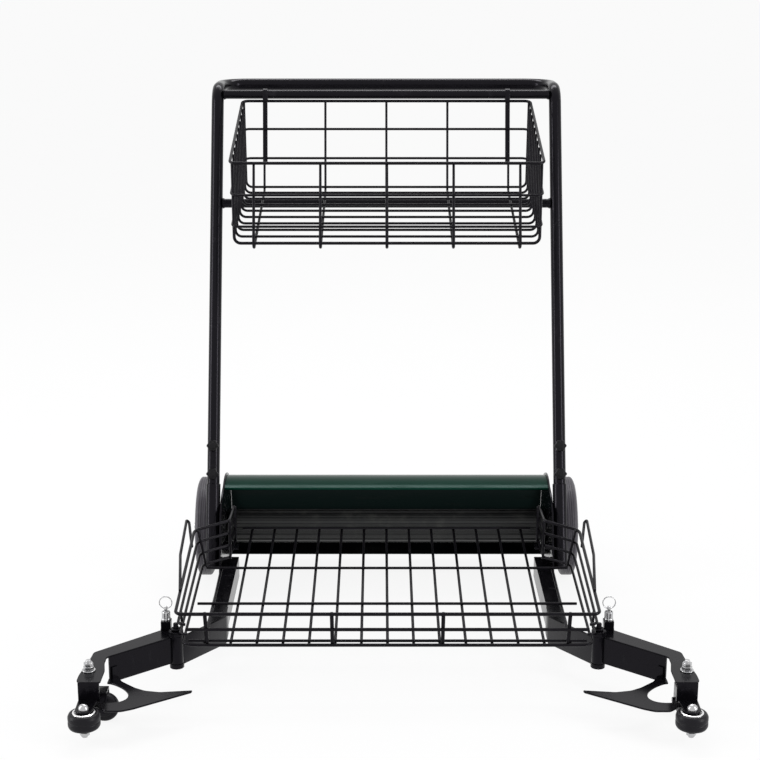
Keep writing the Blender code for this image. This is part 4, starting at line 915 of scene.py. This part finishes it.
def arm_surfaces():
    """Sleeve, upright web, top flange with the lock's ear, end plate, roller tab and boss."""
    sleeve = [(0.0054, 0.0339), (0.0106, 0.0339), (0.0106, 0.0791), (0.0054, 0.0791)]
    grids = [hollow(sleeve, 0.0007, 40, "Z", (*HINGE, 0.0))]
    near, far = 0.0080, 0.1195
    inside = along_arm((near, -WEB_HALF), (far, -WEB_HALF))
    web = inside + along_arm((far, WEB_HALF), (near, WEB_HALF))
    grids.append(flat_plate(web, 0.0345, 0.0785))
    outline = inside + [(0.4215, -0.3560), (0.4215, -0.3740), (0.4170, -0.4000)]
    outline += [(0.4170, -0.4420), (0.4480, -0.4420), (0.4525, -0.4360), (0.4525, -0.4180)]
    outline += [(0.4450, -0.3560), (0.4440, -0.3380), *arc(PLUNGER, 0.0095, -35.0, 205.0, 13)]
    outline += along_arm((0.0040, 0.0110), (near, 0.0060))
    grids.append(flat_plate(soft_outline(outline, 0.0045), 0.0760, 0.0788))
    grids.append(flat_plate(box_outline(0.4190, 0.4500, -0.4419, -0.4390), 0.0480, 0.0775))
    tab = [(0.4500, -0.4395), (0.4215, -0.4395), *arc(ROLLER, 0.0125, 180.0, 360.0, 25)]
    grids.append(flat_plate(tab, 0.0480, 0.0508))
    boss = [(0.0043, 0.0500), (0.0092, 0.0500), (0.0092, 0.0770), (0.0043, 0.0770)]
    grids.append(hollow(boss, 0.0006, 40, "Z", (*KINGPIN, 0.0)))
    return grids


def ball_guide_surfaces():
    """The flat blade with its open notch, and the two ears that hang it from the arm.

    The notch is an ellipse about the caster; its inner end leans forwards by up to 12 mm.
    """
    centre, reach = np.array([0.427, -0.403]), np.array([0.045, 0.034])
    start, end = (math.acos((x - centre[0]) / reach[0]) for x in (0.448, 0.420))
    turn = np.linspace(-start, end - math.tau, 49)
    notch = centre + reach * np.stack([np.cos(turn), np.sin(turn)], -1)
    notch[:, 1] -= 0.012 * np.clip((0.415 - notch[:, 0]) / 0.033, 0.0, 1.0)
    outline = [(0.2895, -0.3950), (0.2905, -0.4000), (0.3470, -0.4390), (0.3700, -0.4550)]
    outline += [(0.3860, -0.4625), (0.4080, -0.4625), (0.4170, -0.4540), (0.4240, -0.4465)]
    outline += [(0.4480, -0.4465), *notch, (0.4200, -0.3550)]
    outline += along_arm((0.1170, -0.0018), (0.1060, -0.0018))
    outline += [(0.3990, -0.3640), (0.3760, -0.3860), (0.3600, -0.3960), (0.3370, -0.4010)]
    grids = [flat_plate(soft_outline(outline, 0.004, 4), 0.0410, 0.0438)]
    rear = along_arm(*box_outline(0.1066, 0.1164, -0.0045, -0.0021))
    grids.append(flat_plate(rear, 0.0420, 0.0600))
    grids.append(flat_plate(box_outline(0.4290, 0.4460, -0.4387, -0.4367), 0.0420, 0.0700))
    return grids


def kingpin_surfaces():
    """The caster's pivot bolt: washer, two nuts and the thread's domed end."""
    bolt = [(0.0, 0.0418), (0.0062, 0.0418), (0.0062, 0.0452), (0.0040, 0.0452), (0.0040, 0.0955)]
    bolt += [(0.0032, 0.0963), (0.0, 0.0963)]
    washer = [(0.0, 0.0791), (0.0100, 0.0791), (0.0100, 0.0808), (0.0, 0.0808)]
    grids = [post(*KINGPIN, bolt), post(*KINGPIN, washer)]
    for across, low, high in ((0.0135, 0.0808, 0.0868), (0.0121, 0.0870, 0.0925)):
        grids.append(hexagon(across, low, high, (*KINGPIN, 0.0)))
    return grids


def roller_bolt_surfaces():
    """The bumper roller's bolt: a dome head above and a nut below."""
    seat, centre = 0.0511, (*ROLLER, 0.0)
    shaft = [(0.0, 0.0075), (0.0040, 0.0075), (0.0040, seat)]
    bolt = np.vstack([shaft, arc((0.0, seat), 0.0078, 0.0, 90.0, 9)])
    nut = hexagon(0.0125, 0.0100, 0.0158, centre)
    return [turned(bolt, centre=centre, steps=40), nut]


def roller_surfaces():
    """The rubber bumper wheel, with a groove round its middle."""
    profile = [(0.0043, 0.0162), (0.0085, 0.0162), (0.0105, 0.0220), (0.0170, 0.0220)]
    profile += [(0.0180, 0.0226), (0.0215, 0.0232), (0.0235, 0.0270), (0.0235, 0.0325)]
    profile += [(0.0229, 0.0333), (0.0229, 0.0347), (0.0235, 0.0355), (0.0235, 0.0410)]
    profile += [(0.0215, 0.0450), (0.0190, 0.0460), (0.0172, 0.0458), (0.0165, 0.0448)]
    profile += [(0.0043, 0.0448)]
    return [hollow(profile, 0.0012, 64, "Z", (*ROLLER, 0.0))]


def roller_hub_surfaces():
    """The roller's plated hub ring, seen on its top."""
    profile = [(0.0046, 0.0445), (0.0167, 0.0445), (0.0167, 0.0466), (0.0142, 0.0474)]
    profile += [(0.0128, 0.0466), (0.0080, 0.0469), (0.0074, 0.0474), (0.0046, 0.0474)]
    return [hollow(profile, 0.0004, 56, "Z", (*ROLLER, 0.0))]


def plunger_barrel_surfaces():
    """The lock's barrel: a collar on the block and a rounded nose above it."""
    profile = [(0.0043, 0.0926), (0.0072, 0.0926), (0.0072, 0.0962), (0.0066, 0.0970)]
    profile += [(0.0066, 0.1070), (0.0056, 0.1080), (0.0043, 0.1080)]
    return [hollow(profile, 0.0004, 48, "Z", (*PLUNGER, 0.0))]


def plunger_pin_surfaces():
    """The locking pin, and the flat eye at its top that holds the ring."""
    shaft = [(0.0, 0.0742), (0.0028, 0.0742), (0.0039, 0.0755), (0.0039, 0.1090), (0.0, 0.1094)]
    turn = circle(32)
    half = [(-0.0022, 0.0), (-0.0022, 0.8), (-0.0016, 1.0)]
    rows = []
    for x, share in half + [(-x, share) for x, share in reversed(half)]:
        y = PLUNGER[1] + 0.0037 * share * np.cos(turn)
        z = 0.1122 + 0.0043 * share * np.sin(turn)
        rows.append(np.stack([np.full_like(turn, PLUNGER[0] + x), y, z], -1))
    return [post(*PLUNGER, shaft), np.stack(rows)]


def ring_surfaces():
    """A split ring: two turns of fine wire side by side, joined by a short step.

    The wire's middle runs at 9.8 mm round the ring's centre while it moves 1.1 mm along y.
    """
    radius, pitch = 0.0098, 0.0011
    share = np.linspace(0.0, 1.0, 145)
    turn = share * 4.0 * math.pi + 0.6
    step = np.clip((share - 0.46) / 0.08, 0.0, 1.0)
    shift = pitch * step * step * (3.0 - 2.0 * step) - pitch / 2.0
    x, z = PLUNGER[0] + radius * np.sin(turn), 0.1125 + radius - radius * np.cos(turn)
    return [tube(np.stack([x, PLUNGER[1] + shift, z], -1), 0.00065, (0, 1, 0), 10)]


def caster_wheel_surfaces(side):
    """A caster's wheel; at rest the left caster points sideways and the right one backwards."""
    half, radius = 0.009, 0.0215
    wall = [(0.0033, half), (0.0120, half), (0.0130, half - 0.0012), (0.0175, half - 0.0005)]
    wall += [(0.0205, half - 0.0025), (radius, half - 0.0055)]
    profile = [(r, -h) for r, h in wall] + wall[::-1]
    if side == "left":
        return [hollow(profile, 0.0010, 56, "Y", (CASTER_TRAIL - KINGPIN[0], KINGPIN[1], radius))]
    return [hollow(profile, 0.0010, 56, "X", (KINGPIN[0], KINGPIN[1] + CASTER_TRAIL, radius))]


def build_arms():
    both("hinge_pin_turned", hinge_pin_surfaces, "black", "chassis", ["hinge_pin"])
    both("arm_folded", arm_surfaces, "black", "arm_{side}", ["arm"])
    both("ball_guide_blade", ball_guide_surfaces, "black", "arm_{side}", ["ball_guide"])
    both("kingpin_turned", kingpin_surfaces, "zinc", "arm_{side}", ["kingpin"])
    both("roller_bolt_turned", roller_bolt_surfaces, "zinc", "arm_{side}", ["roller_bolt"])
    both("roller_moulded", roller_surfaces, "roller", "roller_{side}", ["roller"])
    both("roller_hub_ring", roller_hub_surfaces, "chrome", "roller_{side}")
    both("plunger_barrel", plunger_barrel_surfaces, "zinc", "arm_{side}")
    both("plunger_pin_turned", plunger_pin_surfaces, "zinc", "plunger_{side}", ["plunger_pin"])
    both("split_ring", ring_surfaces, "zinc", "pull_ring_{side}", ["pull_ring"])
    for side in SIDES:
        edged(f"plunger_body_{side}", f"arm_{side}")
        edged(f"caster_fork_{side}", f"caster_{side}")
        node = f"caster_wheel_{side}"
        piece(f"{node}_moulded", caster_wheel_surfaces(side), "roller", node, [node])


# Setting

# The rays that see the bright surroundings in full
SEEING_RAYS = ("Is Camera Ray", "Is Glossy Ray", "Is Transmission Ray")


def build_floor():
    """A wide pale floor that stays near white to the camera and still takes the cart's shadow."""
    half, camera_share = 60.0, 0.88
    mesh = bpy.data.meshes.new("floor")
    corners = [(-half, -half, 0), (half, -half, 0), (half, half, 0), (-half, half, 0)]
    mesh.from_pydata(corners, [], [(0, 1, 2, 3)])
    floor = bpy.data.objects.new("floor", mesh)
    bpy.context.scene.collection.objects.link(floor)
    shade = Shade("pale_floor", Roughness=0.9, Specular_IOR_Level=0.1)
    shade.feed(Base_Color=shade.mixed(shade.noise(3.0), (0.80, 0.80, 0.81), (0.84, 0.84, 0.84)))
    seen = [shade.node("ShaderNodeLightPath", output=ray) for ray in SEEING_RAYS]
    glow = shade.node("ShaderNodeEmission", {}, {"Color": (1.0, 1.0, 1.0, 1.0), "Strength": 1.0})
    share = (seen[0] + seen[1] + seen[2]) * camera_share
    lit = Value(shade, shade.shader.outputs[0])
    mix = shade.node("ShaderNodeMixShader", {}, {0: share, 1: lit, 2: glow})
    shade.links.new(mix.socket, shade.nodes["Material Output"].inputs["Surface"])
    mesh.materials.append(shade.material)


def build_world():
    """Soft even light, with white seen behind the cart and in its reflections."""
    world = bpy.data.worlds.new("studio")
    world.use_nodes = True
    nodes, links = world.node_tree.nodes, world.node_tree.links
    back = nodes["Background"]
    back.inputs["Color"].default_value = (1.0, 1.0, 1.0, 1.0)
    path = nodes.new("ShaderNodeLightPath")
    seen = path.outputs[SEEING_RAYS[0]]
    for ray in SEEING_RAYS[1:]:
        either = nodes.new("ShaderNodeMath")
        either.operation = "MAXIMUM"
        links.new(seen, either.inputs[0])
        links.new(path.outputs[ray], either.inputs[1])
        seen = either.outputs[0]
    strength = nodes.new("ShaderNodeMapRange")
    links.new(seen, strength.inputs["Value"])
    strength.inputs["To Min"].default_value = 0.75
    strength.inputs["To Max"].default_value = 1.0
    links.new(strength.outputs[0], back.inputs["Strength"])
    bpy.context.scene.world = world


def build_lights():
    """A tall strip on each side, for the tubes' highlights, and one above for the hood's band."""
    for name, place, size, power in (
        ("left_strip", (-2.4, -0.4, 1.1), (0.50, 2.0), 26.0),
        ("right_strip", (2.3, -1.3, 1.1), (0.50, 2.0), 28.0),
        ("top_strip", (0.0, 1.6, 2.9), (2.4, 0.50), 38.0),
    ):
        data = bpy.data.lights.new(name, "AREA")
        data.shape = "RECTANGLE"
        data.size, data.size_y = size
        data.energy = power
        lamp = bpy.data.objects.new(name, data)
        lamp.location = place
        x, y, z = np.array([0.0, 0.0, 0.4]) - np.array(place)
        tilt, heading = math.atan2(math.hypot(x, y), -z), math.atan2(y, x) - math.pi / 2
        lamp.rotation_euler = (tilt, 0.0, heading)
        bpy.context.scene.collection.objects.link(lamp)


def build_camera():
    """The photograph's camera, in front of the cart and a little above it."""
    data = bpy.data.cameras.new("camera")
    data.lens = 77.68
    data.sensor_width = 36.0
    camera = bpy.data.objects.new("camera", data)
    camera.location = (-0.0115, -2.625, 1.1127)
    camera.rotation_euler = (math.radians(75.1), 0.0, 0.0)
    bpy.context.scene.collection.objects.link(camera)
    bpy.context.scene.camera = camera


build_camera()
build_frame()
build_wheels()
build_upper_basket()
build_lower_basket()
build_arms()
build_floor()
build_world()
build_lights()
bpy.context.scene.view_settings.view_transform = "Standard"
